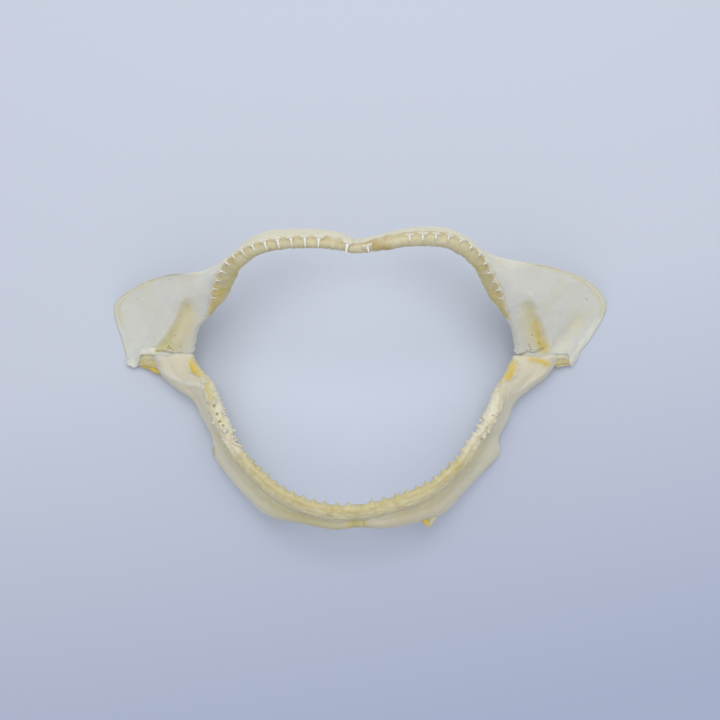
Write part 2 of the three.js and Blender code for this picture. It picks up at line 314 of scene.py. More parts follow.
@dataclass(frozen=True)
class GuideLine:
    """A smooth line through points, eased by the distances between them."""

    points: Array

    def at(self, places: Array) -> Array:
        """Points at places from 0 to 1."""
        rows = self.points
        padded = np.concatenate([[2 * rows[0] - rows[1]], rows, [2 * rows[-1] - rows[-2]]])
        travel = np.clip(places, 0, 1) * (len(rows) - 1)
        leg = np.clip(np.floor(travel).astype(int), 0, len(rows) - 2)
        share = (travel - leg)[..., None]
        before, start, end, after = (padded[leg + shift] for shift in range(4))
        gaps = [
            np.linalg.norm(far - near, axis=-1, keepdims=True) ** 0.5
            for near, far in ((before, start), (start, end), (end, after))
        ]
        leaving = (start - before) / gaps[0] - (end - before) / (gaps[0] + gaps[1])
        leaving = (leaving + (end - start) / gaps[1]) * gaps[1]
        coming = (end - start) / gaps[1] - (after - start) / (gaps[1] + gaps[2])
        coming = (coming + (after - end) / gaps[2]) * gaps[1]
        square = -3 * start + 3 * end - 2 * leaving - coming
        cube = 2 * start - 2 * end + leaving + coming
        return start + share * (leaving + share * (square + share * cube))


@dataclass(frozen=True)
class Shape:
    """Profiles of a plate along its length, from 0 at the front joint to 1 at the jaw joint."""

    edge_thick: Keys
    body_thick: Keys
    plate_thick: Keys
    margin_thick: Keys
    nose_reach: Keys
    body_bulge: Keys
    groove_place: Keys
    bow: Keys = ((0, 0), (1, 0))
    groove_depth: Keys = ((0, 0), (1, 0))
    dish: Keys = ((0, 0), (1, 0))


@dataclass
class Cut:
    """Frames of the cross-sections of a plate, one row per section."""

    place: Array
    start: Array
    across: Array
    normal: Array
    onward: Array
    length: Array


@dataclass
class Plate:
    """One half of a jaw: a curved plate between its tooth edge and its margin."""

    name: str
    rows: Rows
    shape: Shape
    lobe: Keys = NARROW_LOBE
    edge: GuideLine = field(init=False)
    margin: GuideLine = field(init=False)

    def __post_init__(self) -> None:
        """Draws the two guide lines."""
        table = np.array(self.rows, float)
        self.edge, self.margin = GuideLine(table[:, :3]), GuideLine(table[:, 3:])

    def cut(self, places: Array) -> Cut:
        """Frames of the sections at these places."""
        step, lean = 0.045, 0.15

        def near_edge(where: Array) -> Array:
            """Points of the plate a little way in from the tooth edge."""
            held = np.clip(where, 0, 1)
            return self.edge.at(held) * (1 - lean) + self.margin.at(held) * lean

        def unit(vectors: Array) -> Array:
            """Vectors at length 1."""
            return vectors / np.linalg.norm(vectors, axis=-1, keepdims=True)

        along = unit(near_edge(places + step) - near_edge(places - step))
        start = self.edge.at(places)
        chord = self.margin.at(places) - start
        across = unit(chord)
        normal = unit(np.cross(across, along))
        normal = np.where(normal[:, 2:] < 0, -normal, normal)
        onward = np.cross(normal, across)
        facing = np.sum(onward * along, axis=-1, keepdims=True)
        onward = np.where(facing < 0, -onward, onward)
        length = np.linalg.norm(chord, axis=-1)
        return Cut(places, start, across, normal, onward, length)

    def height(self, place: Array, share: Array) -> Array:
        """Height of the outer face over the straight chord."""
        shape = self.shape
        groove = eased(shape.groove_place, place)
        body = np.sin(np.pi * np.minimum(1, share / (2 * groove)))
        dish = np.sin(np.pi * np.clip((share - groove) / (1 - groove), 0, 1))
        return (
            eased(shape.body_bulge, place) * body
            - eased(shape.groove_depth, place) * hump(share - groove, GROOVE_WIDTH)
            - eased(shape.dish, place) * dish
        )

    def thickness(self, place: Array, share: Array) -> Array:
        """Thickness of the plate at a share of the way from tooth edge to margin."""
        shape = self.shape
        groove = eased(shape.groove_place, place)
        keys = (
            (0 * groove, eased(shape.edge_thick, place)),
            (groove * 0.5, eased(shape.body_thick, place)),
            (np.minimum(0.8, groove * 1.5), eased(shape.plate_thick, place)),
            (0 * groove + 1, eased(shape.margin_thick, place)),
        )
        value = keys[0][1] + 0 * share
        for (low, start), (high, end) in zip(keys[:-1], keys[1:]):
            part = np.clip((share - low) / (high - low), 0, 1)
            part = part * part * (3 - 2 * part)
            value = np.where(share > low, start + (end - start) * part, value)
        return value

    def spots(self, *places: tuple[float, float, float]) -> tuple[tuple[float, ...], ...]:
        """Points on the surface, each given by place, distance along the outline and lift."""
        table = np.array(places)
        points = self.outline(self.cut(table[:, 0]), table[:, 1:2], table[:, 2:])
        return tuple(tuple(point) for point in points[:, 0])

    def outline(self, cut: Cut, distance: Array, lift: Array | float = 0.0) -> Array:
        """Points of the sections' outlines.

        Args:
            cut: The sections, one row each.
            distance: Along each outline, sections by steps. 0 is the tip of the tooth edge. Up
                to NOSE it runs round the edge, and then along the face: labial if positive,
                lingual if negative.
            lift: How far the point stands off the surface.

        Returns:
            The points, sections by steps by 3.
        """
        place = cut.place[:, None]
        length = cut.length[:, None]
        lift = np.broadcast_to(np.asarray(lift, float), distance.shape)
        radius = self.thickness(place, 0 * place) / 2
        angle = np.clip(distance / NOSE, -1, 1) * np.pi / 2
        nose_across = -np.cos(angle) * (eased(self.shape.nose_reach, place) + lift)
        nose_normal = np.sin(angle) * (radius + lift) - radius
        share = np.clip((np.abs(distance) - NOSE) / length, 0, 1)
        height = self.height(place, share)
        depth = self.thickness(place, share)
        face_normal = np.where(distance > 0, height + lift, height - depth - lift)
        bow = -eased(self.shape.bow, place) * eased(self.lobe, share)
        on_nose = np.abs(distance) <= NOSE
        across = np.where(on_nose, nose_across, share * length)
        rise = np.where(on_nose, nose_normal, face_normal)
        bow = np.where(on_nose, 0, bow)
        return (
            cut.start[:, None, :]
            + across[..., None] * cut.across[:, None, :]
            + bow[..., None] * cut.onward[:, None, :]
            + rise[..., None] * cut.normal[:, None, :]
        )


UPPER_SHAPE = Shape(
    edge_thick=((0, 1.3), (0.3, 1.5), (0.48, 2.6), (0.64, 4.2), (0.72, 4.2), (0.8, 3.2), (1, 3.6)),
    body_thick=((0, 1.8), (0.3, 2.0), (0.5, 3.6), (0.66, 4.4), (0.8, 4.2), (1, 4.8)),
    plate_thick=((0, 1.8), (0.5, 1.8), (1, 1.7)),
    margin_thick=((0, 1.2), (0.5, 1.0), (1, 0.9)),
    nose_reach=((0, 0.9), (0.4, 1.1), (0.7, 1.3), (1, 1.6)),
    body_bulge=((0, 0.3), (0.5, 0.4), (0.75, 1.2), (0.92, 1.6), (1, 1.4)),
    bow=((0, 0), (0.86, 0), (0.93, 0.8), (1, 3.8)),
    groove_place=((0, 0.5), (0.6, 0.24), (0.82, 0.25), (0.91, 0.33), (1, 0.58)),
    groove_depth=((0, 0), (0.72, 0), (0.8, 0.6), (0.92, 1.2), (1, 1.0)),
    dish=((0, 0), (0.5, 0), (0.75, 1.6), (1, 1.0)),
)
LOWER_SHAPE = Shape(
    edge_thick=((0, 1.8), (0.5, 2.0), (0.85, 2.2), (1, 3.0)),
    body_thick=((0, 3.0), (0.5, 3.2), (0.85, 3.4), (1, 4.8)),
    plate_thick=((0, 2.8), (0.5, 2.4), (0.85, 2.4), (1, 3.8)),
    margin_thick=((0, 1.6), (0.55, 1.4), (0.85, 1.6), (1, 2.4)),
    nose_reach=((0, 0.9), (1, 1.2)),
    body_bulge=((0, 0.7), (0.5, 0.7), (0.8, 0.9), (1, 1.2)),
    groove_place=((0, 0.5), (1, 0.5)),
    dish=((0, -0.6), (0.5, -0.5), (1, -0.8)),
)

# Guide lines, from the front joint to the jaw joint: tooth edge x, y, z, then margin x, y, z.
UPPER_LEFT = Plate(
    "upper_cartilage_left",
    (
        (-1.6, 37.4, 43.3, -1.6, 39.8, 38.3),
        (-6.2, 38.8, 44.0, -6.4, 41.7, 38.0),
        (-14.2, 39.3, 44.3, -14.8, 42.7, 37.1),
        (-22.7, 38.8, 43.0, -24.4, 42.4, 35.6),
        (-29.0, 37.4, 40.8, -31.0, 40.2, 33.0),
        (-34.8, 34.5, 36.9, -37.0, 35.7, 29.0),
        (-38.6, 31.2, 33.0, -45.5, 31.9, 24.0),
        (-41.0, 27.6, 28.8, -57.5, 31.4, 14.5),
        (-42.5, 24.0, 25.0, -68.6, 28.0, 6.5),
        (-44.5, 20.2, 20.5, -75.2, 22.8, 1.0),
        (-49.1, 15.2, 15.0, -72.5, 11.0, -0.4),
        (-51.1, 9.2, 9.6, -70.4, 4.2, 1.0),
    ),
    UPPER_SHAPE,
    BROAD_LOBE,
)
UPPER_RIGHT = Plate(
    "upper_cartilage_right",
    (
        (0.0, 37.4, 43.3, 0.0, 39.8, 38.3),
        (4.8, 38.7, 44.0, 4.9, 40.8, 38.0),
        (12.9, 40.2, 44.3, 13.1, 42.9, 37.1),
        (21.1, 40.4, 43.0, 22.5, 43.2, 35.6),
        (27.4, 38.8, 40.8, 29.2, 41.0, 33.0),
        (33.2, 35.0, 36.9, 35.4, 37.0, 29.0),
        (36.6, 30.8, 33.0, 44.5, 35.0, 24.0),
        (39.4, 26.6, 28.8, 58.0, 33.6, 14.5),
        (41.3, 22.8, 25.0, 70.1, 29.3, 6.5),
        (43.4, 19.3, 20.5, 75.5, 22.8, 1.0),
        (46.6, 14.6, 15.0, 72.0, 15.0, -0.4),
        (48.0, 8.8, 9.6, 64.4, 4.8, 1.5),
    ),
    UPPER_SHAPE,
)
LOWER_LEFT = Plate(
    "lower_cartilage_left",
    (
        (-1.4, -37.1, 20.5, -1.6, -42.1, 14.0),
        (-6.5, -37.3, 20.5, -7.0, -42.9, 13.6),
        (-15.2, -35.8, 20.2, -16.8, -41.6, 12.0),
        (-24.2, -31.6, 19.7, -27.7, -39.4, 9.0),
        (-31.2, -25.8, 18.9, -35.5, -33.0, 5.0),
        (-35.2, -21.8, 18.0, -41.3, -27.0, 2.0),
        (-37.9, -18.1, 17.2, -45.0, -21.9, -0.4),
        (-40.6, -13.7, 16.4, -44.7, -16.8, 0.3),
        (-42.9, -8.7, 15.5, -47.5, -10.9, 1.2),
        (-44.9, -3.8, 14.4, -50.2, -5.7, 2.2),
        (-46.7, 0.8, 12.9, -56.3, -1.5, 2.8),
        (-49.7, 4.2, 11.0, -60.4, 2.8, 3.6),
        (-52.0, 9.3, 9.0, -63.4, 10.2, 5.0),
    ),
    LOWER_SHAPE,
)
LOWER_RIGHT = Plate(
    "lower_cartilage_right",
    (
        (1.7, -36.8, 20.5, 1.6, -42.2, 14.0),
        (7.2, -35.6, 20.5, 7.0, -42.6, 13.6),
        (14.4, -33.4, 20.2, 15.6, -41.5, 12.0),
        (21.3, -30.3, 19.7, 24.4, -39.2, 9.0),
        (27.1, -25.8, 18.9, 32.2, -32.1, 5.0),
        (30.7, -22.4, 18.0, 37.9, -26.8, 2.0),
        (33.2, -18.4, 17.2, 42.9, -21.6, -0.4),
        (36.1, -14.8, 16.4, 42.4, -16.8, 0.3),
        (39.1, -10.5, 15.5, 44.7, -11.6, 1.2),
        (41.5, -5.6, 14.4, 46.7, -6.0, 2.2),
        (42.9, -0.8, 12.9, 52.1, -1.6, 2.8),
        (45.2, 3.0, 11.0, 56.8, 2.3, 3.6),
        (48.0, 8.8, 9.0, 60.8, 9.9, 5.0),
    ),
    LOWER_SHAPE,
)


# ---- Finishes ----------------------------------------------------------------------------------


def dried_surface() -> bpy.types.NodeTree:
    """Makes the shader group for dried cartilage, gum and tissue.

    Returns:
        A group that mottles a colour and gives a fine height and roughness that vary with it.
    """
    group = bpy.data.node_groups.new("Dried surface", "ShaderNodeTree")
    sockets = (
        ("Colour", "INPUT", "NodeSocketColor", (0.8, 0.8, 0.8, 1.0)),
        ("Grain scale", "INPUT", "NodeSocketFloat", 900.0),
        ("Mottling", "INPUT", "NodeSocketFloat", 0.1),
        ("Roughness", "INPUT", "NodeSocketFloat", 0.5),
        ("Colour", "OUTPUT", "NodeSocketColor", None),
        ("Height", "OUTPUT", "NodeSocketFloat", None),
        ("Roughness", "OUTPUT", "NodeSocketFloat", None),
    )
    for name, way, kind, value in sockets:
        socket = group.interface.new_socket(name=name, in_out=way, socket_type=kind)
        if value is not None:
            socket.default_value = value
    nodes, links = group.nodes, group.links
    inward, outward = nodes.new("NodeGroupInput"), nodes.new("NodeGroupOutput")
    place = nodes.new("ShaderNodeTexCoord")
    broad, fine = nodes.new("ShaderNodeTexNoise"), nodes.new("ShaderNodeTexNoise")
    broad.inputs["Scale"].default_value = 160.0
    broad.inputs["Detail"].default_value = 5.0
    fine.inputs["Detail"].default_value = 4.0
    links.new(place.outputs["Object"], broad.inputs["Vector"])
    links.new(place.outputs["Object"], fine.inputs["Vector"])
    links.new(inward.outputs["Grain scale"], fine.inputs["Scale"])
    both = nodes.new("ShaderNodeMath")
    both.operation = "ADD"
    links.new(broad.outputs["Fac"], both.inputs[0])
    links.new(fine.outputs["Fac"], both.inputs[1])
    centred = nodes.new("ShaderNodeMath")
    centred.operation = "SUBTRACT"
    centred.inputs[1].default_value = 1.0
    links.new(both.outputs[0], centred.inputs[0])
    scaled = nodes.new("ShaderNodeMath")
    scaled.operation = "MULTIPLY_ADD"
    scaled.inputs[2].default_value = 1.0
    links.new(centred.outputs[0], scaled.inputs[0])
    links.new(inward.outputs["Mottling"], scaled.inputs[1])
    tinted = nodes.new("ShaderNodeVectorMath")
    tinted.operation = "SCALE"
    links.new(inward.outputs["Colour"], tinted.inputs[0])
    links.new(scaled.outputs[0], tinted.inputs["Scale"])
    links.new(tinted.outputs["Vector"], outward.inputs["Colour"])
    links.new(fine.outputs["Fac"], outward.inputs["Height"])
    rough = nodes.new("ShaderNodeMath")
    rough.operation = "MULTIPLY_ADD"
    rough.inputs[1].default_value = 0.12
    links.new(centred.outputs[0], rough.inputs[0])
    links.new(inward.outputs["Roughness"], rough.inputs[2])
    links.new(rough.outputs[0], outward.inputs["Roughness"])
    return group


@dataclass(frozen=True)
class Finish:
    """Finish of one kind of dried surface, coloured by the piece's own tones."""

    name: str
    grain: float
    mottling: float
    roughness: float
    relief: float
    glow: float
    coat: float = 0.0

    def material(self, group: bpy.types.NodeTree) -> bpy.types.Material:
        """Makes the material.

        Args:
            group: The shader group of dried surfaces.

        Returns:
            The material, which reads the piece's tones.
        """
        material = bpy.data.materials.new(self.name)
        material.use_nodes = True
        nodes, links = material.node_tree.nodes, material.node_tree.links
        shader = nodes["Principled BSDF"]
        tones = nodes.new("ShaderNodeAttribute")
        tones.attribute_name = "tone"
        surface = nodes.new("ShaderNodeGroup")
        surface.node_tree = group
        surface.inputs["Grain scale"].default_value = self.grain
        surface.inputs["Mottling"].default_value = self.mottling
        surface.inputs["Roughness"].default_value = self.roughness
        bump = nodes.new("ShaderNodeBump")
        bump.inputs["Strength"].default_value = self.relief
        bump.inputs["Distance"].default_value = 0.0002
        links.new(tones.outputs["Color"], surface.inputs["Colour"])
        links.new(surface.outputs["Colour"], shader.inputs["Base Color"])
        links.new(surface.outputs["Roughness"], shader.inputs["Roughness"])
        links.new(surface.outputs["Height"], bump.inputs["Height"])
        links.new(bump.outputs["Normal"], shader.inputs["Normal"])
        shader.inputs["Subsurface Weight"].default_value = self.glow
        shader.inputs["Subsurface Radius"].default_value = (1.0, 0.8, 0.5)
        shader.inputs["Subsurface Scale"].default_value = 0.002
        shader.inputs["Coat Weight"].default_value = self.coat
        shader.inputs["Coat Roughness"].default_value = 0.25
        shader.inputs["Specular IOR Level"].default_value = 0.4
        return material


CARTILAGE = Finish("Dried cartilage", 1400.0, 0.06, 0.52, 0.2, 0.5)
GUM = Finish("Dried gum", 1100.0, 0.14, 0.44, 0.4, 0.14, 0.12)
TISSUE = Finish("Dried tissue", 1300.0, 0.16, 0.42, 0.5, 0.15, 0.12)
ENAMEL = Finish("Tooth enamel", 2200.0, 0.03, 0.24, 0.08, 0.3, 0.35)


# ---- Cartilages --------------------------------------------------------------------------------


@dataclass
class Cartilage:
    """One cartilage: the plate with rounded ends and margin, its grooves, stains, painted
    highlights and grain.
    """

    plate: Plate
    tones: tuple[tuple[float, Tone], ...]
    strokes: tuple[Stroke, ...] = ()
    bands: tuple[Band, ...] = ()
    rings: int = 210
    face_steps: int = 58
    nose_steps: int = 6
    margin_steps: int = 4
    end_rings: int = 5
    end_place: float = 1.0
    wobble: float = 0.16
    bevel: float = 0.0
    bevel_width: float = 1.3
    least: float = 0.45  # thickness that a margin keeps where it meets the resting surface
    easing: float = 0.12

    def layout(self) -> tuple[Array, Array, Array]:
        """Steps of half a ring, from the margin to the tip of the tooth edge.

        Returns:
            Angles round the margin, shares of the face, and distances round the tooth edge.
        """
        margin = (np.arange(self.margin_steps) + 0.5) / self.margin_steps * (np.pi / 2)
        face = (1 - np.cos(np.linspace(0, 1, self.face_steps) * np.pi)) / 2
        face = 0.5 * face + 0.5 * np.linspace(0, 1, self.face_steps)
        nose = (np.arange(self.nose_steps) + 0.5) / self.nose_steps * NOSE
        return margin[::-1], face[::-1], nose[::-1]

    def surface(self, cut: Cut) -> tuple[Array, Array, Array]:
        """Points of closed rings over the sections.

        Args:
            cut: The sections.

        Returns:
            The points (sections by steps by 3), and each step's share of the way to the margin
            and side (1 labial, -1 lingual).
        """
        margin, face, nose = self.layout()
        place, length = cut.place[:, None], cut.length[:, None]
        thick = self.plate.thickness(place, np.ones_like(place))
        reach = 1 - thick / (2 * length)
        thick = self.plate.thickness(place, reach)
        brink = self.plate.outline(cut, NOSE + SEAM + reach * length)
        halves = []
        for side in (1, -1):
            on_face = side * (NOSE + SEAM + face * reach * length)
            on_nose = side * nose + 0 * place
            points = self.plate.outline(cut, np.concatenate([on_face, on_nose], axis=1))
            angle = margin if side > 0 else np.pi - margin
            halves.append(np.concatenate([brink + self._cap(cut, thick, angle), points], axis=1))
        share = np.concatenate([np.ones_like(margin), face, 0 * nose])
        grid = np.concatenate([halves[0], halves[1][:, ::-1]], axis=1)
        return grid, np.concatenate([share, share[::-1]]), np.repeat([1, -1], len(share))

    @staticmethod
    def _cap(cut: Cut, thick: Array, angle: Array) -> Array:
        """Offsets of the rounded margin from the labial face's last point.

        Args:
            cut: The sections.
            thick: Thickness of the plate at the margin, one row per section.
            angle: Angle from the labial side, 0, to the lingual side, pi.

        Returns:
            Offsets, sections by angles by 3.
        """
        radius = thick / 2
        outward = radius * np.sin(angle)[None, :]
        down = radius * (np.cos(angle)[None, :] - 1)
        return (
            outward[..., None] * cut.across[:, None, :] + down[..., None] * cut.normal[:, None, :]
        )

    def floor_level(self, steps: int) -> Array:
        """Lowest height of each step round a ring: a thin margin's top stays over its underside."""
        margin = self.layout()[0]
        top = self.least * (1 + np.cos(margin)) / 2
        levels = np.concatenate([top, np.full(steps // 2 - len(top), self.least)])
        return np.concatenate([levels, (self.least - levels)[::-1]])

    def rounded(self, grid: Array, cut: Cut, at: int, way: float) -> Array:
        """Rings that close an end of the plate with a round edge.

        Args:
            grid: The plate's rings.
            cut: The sections.
            at: Index of the end ring, 0 or -1.
            way: 1 if the end faces onward, -1 if it faces back.

        Returns:
            The extra rings, from the end outwards.
        """
        ring = grid[at]
        middle = (ring + ring[::-1]) / 2
        half = np.linalg.norm(ring - ring[::-1], axis=-1, keepdims=True) / 2
        turns = (np.arange(self.end_rings) + 1) / self.end_rings * np.pi / 2
        return np.stack(
            [
                middle
                + (ring - middle) * np.cos(turn)
                + way * cut.onward[at] * half * np.sin(turn) * 0.8
                for turn in turns
            ]
        )

    def paint(self, grid: Array, place: Array, inward: Array, side: Array) -> Array:
        """Tones of the rings' points.

        Args:
            grid: The points.
            place: Place along the plate, one per ring.
            inward: Distance in from the margin, rings by steps.
            side: 1 on the labial side and -1 on the lingual side, one per step.

        Returns:
            Linear RGB for each point.
        """
        colours = np.broadcast_to(self.tones[0][1].linear, grid.shape).copy()
        drift = place[:, None] + 0.05 * mottle(grid, 6.0, 2, 12.0)
        for (low, _), (high, tone) in zip(self.tones[:-1], self.tones[1:]):
            colours = mix(colours, tone, smoothstep(drift, low, high))
        labial = (side > 0)[None, :] * np.ones_like(place)[:, None]
        colours = mix(colours, Tone.STRAW, (1 - labial) * 0.45)
        colours = mix(colours, Tone.STRAW, 0.2 * smoothstep(mottle(grid, 9.0, 3, 3.1), 0.0, 0.8))
        ragged = np.clip(1 + 0.6 * mottle(grid, 1.8, 3, 7.7), 0, 2)
        for band in self.bands:
            colours = mix(colours, band.tone, band.reach(place, inward) * ragged * labial)
        for stroke in self.strokes:
            if stroke.tone:
                amount = stroke.strength * stroke.reach(grid) * ragged * labial
                colours = mix(colours, stroke.tone, amount)
        return colours

    def build(self, material: bpy.types.Material) -> bpy.types.Object:
        """Makes the cartilage.

        Args:
            material: The finish of dried cartilage.

        Returns:
            The new object.
        """
        places = np.linspace(0, self.end_place, self.rings)
        cut = self.plate.cut(places)
        grid, share, side = self.surface(cut)
        grid = np.concatenate(
            [
                self.rounded(grid, cut, 0, -1)[::-1],
                grid,
                self.rounded(grid, cut, -1, 1),
            ]
        )
        extra = self.end_rings
        places = np.concatenate([np.zeros(extra), places, np.full(extra, self.end_place)])
        lengths = np.concatenate([[cut.length[0]] * extra, cut.length, [cut.length[-1]] * extra])
        normals = grid_normals(grid)
        middle = (grid + grid[:, ::-1]) / 2
        facing = np.sum(normals * (grid - middle), axis=-1).sum()
        normals = normals if facing > 0 else -normals
        half = np.linalg.norm(grid - grid[:, ::-1], axis=-1) / 2
        swell = self.wobble * mottle(grid, 7.0, 4, 1.3) + 0.05 * mottle(grid, 1.5, 2, 5.0)
        inward = (1 - share)[None, :] * lengths[:, None]
        bevel = -self.bevel * smoothstep(-inward, -self.bevel_width, -self.bevel_width * 0.45)
        bevel = bevel * smoothstep(lengths, 12.0, 22.0)[:, None]
        swell = swell + bevel * (side > 0)[None, :]
        for stroke in self.strokes:
            if stroke.rise:
                swell = swell + stroke.rise * stroke.reach(grid) * (side > 0)[None, :]
        swell = np.maximum(swell, -half * 0.7)
        grid = grid + normals * swell[..., None]
        level = self.floor_level(len(share))[None, :]
        grid[..., 2] = level + self.easing * np.logaddexp(0, (grid[..., 2] - level) / self.easing)
        shell = Shell()
        shell.add_tube(grid, self.paint(grid, places, inward, side))
        piece = shell.build(self.plate.name + "_dried", material, "cartilage")
        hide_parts(self.plate.name)
        return piece


# ---- Teeth -------------------------------------------------------------------------------------


@dataclass
class ToothRow:
    """One row of teeth on a plate: slender cusps that stand on broad, arched roots."""

    plate: Plate
    count: int
    first: float
    pitch: float
    last_pitch: float
    height: float
    root: float
    lean: float
    seat: float
    stand: float
    shrink: float = 0.6
    slant: float = 0.0
    girth: float = 1.0
    missing: tuple[int, ...] = ()
    enamel: Tone = Tone.ENAMEL
    # The default tip tone is painted shade.
    tip: Tone = Tone.TIP_SHADE
    scatter: float = 0.0
    settle: float = 0.0
    seed: int = 1

    def places(self) -> Array:
        """Places of the teeth along the plate."""
        fine = np.linspace(0, 1, 600)
        line = self.plate.edge.at(fine)
        travel = np.concatenate([[0], np.cumsum(np.linalg.norm(np.diff(line, axis=0), axis=-1))])
        steps = np.arange(self.count)
        share = steps / (2 * (self.count - 1))
        wanted = self.first + steps * (self.pitch + (self.last_pitch - self.pitch) * share)
        return np.interp(wanted, travel, fine)

    def sizes(self) -> Array:
        """Sizes of the teeth over the first one."""
        return np.linspace(1, self.shrink, self.count)

    def add(self, shell: Shell) -> None:
        """Adds the teeth to a shell."""
        places = self.places()
        cut = self.plate.cut(places)
        chances = np.random.default_rng(self.seed).uniform(-1, 1, (self.count, 4))
        seats = self.seat + self.settle * np.linspace(0, 1, self.count)[:, None]
        seats = seats + self.scatter * chances[:, 3:]
        feet = self.plate.outline(cut, seats, self.stand)[:, 0]
        for tooth, size in enumerate(self.sizes()):
            if tooth in self.missing:
                continue
            tall, lean, turn = chances[tooth, :3]
            size *= 1 + (0.1 + 0.3 * self.scatter) * tall
            up = -cut.across[tooth] - (self.lean + 0.1 * lean) * cut.normal[tooth]
            slant = self.slant * (tooth / self.count) ** 1.5
            up = up + (slant + 0.09 * turn) * cut.onward[tooth]
            up /= np.linalg.norm(up)
            out = np.cross(up, cut.onward[tooth])
            out /= np.linalg.norm(out)
            out = out if out @ cut.normal[tooth] > 0 else -out
            side = np.cross(out, up)
            self._add_root(shell, feet[tooth], up, side, out, size)
            self._add_cusp(shell, feet[tooth], up, side, out, size)

    def _add_root(
        self, shell: Shell, foot: Array, up: Array, side: Array, out: Array, size: float
    ) -> None:
        """Adds a root: an arched bar along the jaw that sinks into the gum under it."""
        turns = np.linspace(0, 2 * np.pi, 9)[:-1]
        rings = []
        for share in np.linspace(-1, 1, 13):
            body = math.sqrt(max(0.0, 1 - share**4)) + 0.02
            tall, deep = 0.38 * body * size, (0.32 * size + ROOT_SINK) * body
            arch = (0.28 - 0.62 * share**2) * size
            centre = foot + side * share * self.root * size / 2 + up * arch
            centre = centre + out * (0.3 * size - ROOT_SINK)
            rings.append(
                centre + np.cos(turns)[:, None] * up * tall + np.sin(turns)[:, None] * out * deep
            )
        grid = np.stack(rings)
        shell.add_tube(grid, np.broadcast_to(Tone.ROOT.linear, grid.shape))

    def _add_cusp(
        self, shell: Shell, foot: Array, up: Array, side: Array, out: Array, size: float
    ) -> None:
        """Adds a cusp: a slender blade that leans in and then straightens to its tip."""
        turns = np.linspace(0, 2 * np.pi, 11)[:-1]
        shares = np.linspace(0, 1, 15)
        rings, tones = [], []
        for share in shares:
            flare = 0.5 * math.exp(-((share / 0.15) ** 2))
            body = (1 - share**1.3) ** 0.9 + 0.012
            wide = (0.4 * body + flare) * self.girth * size
            deep = 0.3 * body * self.girth * size
            bend = -0.3 * math.sin(math.pi * share) * size
            centre = foot + up * (0.1 + share * (self.height * size - 0.1)) + out * bend
            rings.append(
                centre + np.cos(turns)[:, None] * side * wide + np.sin(turns)[:, None] * out * deep
            )
            tones.append(np.broadcast_to(self.enamel.linear, (len(turns), 3)))
        grid, colours = np.stack(rings), np.stack(tones)
        # Tips are mixed towards the row's tip tone, which on the upper rows is painted shade.
        tips = np.repeat(smoothstep(shares, 0.55, 0.95)[:, None], len(turns), 1)
        shell.add_tube(grid, mix(colours, self.tip, tips * 0.8))


# ---- Gums --------------------------------------------------------------------------------------


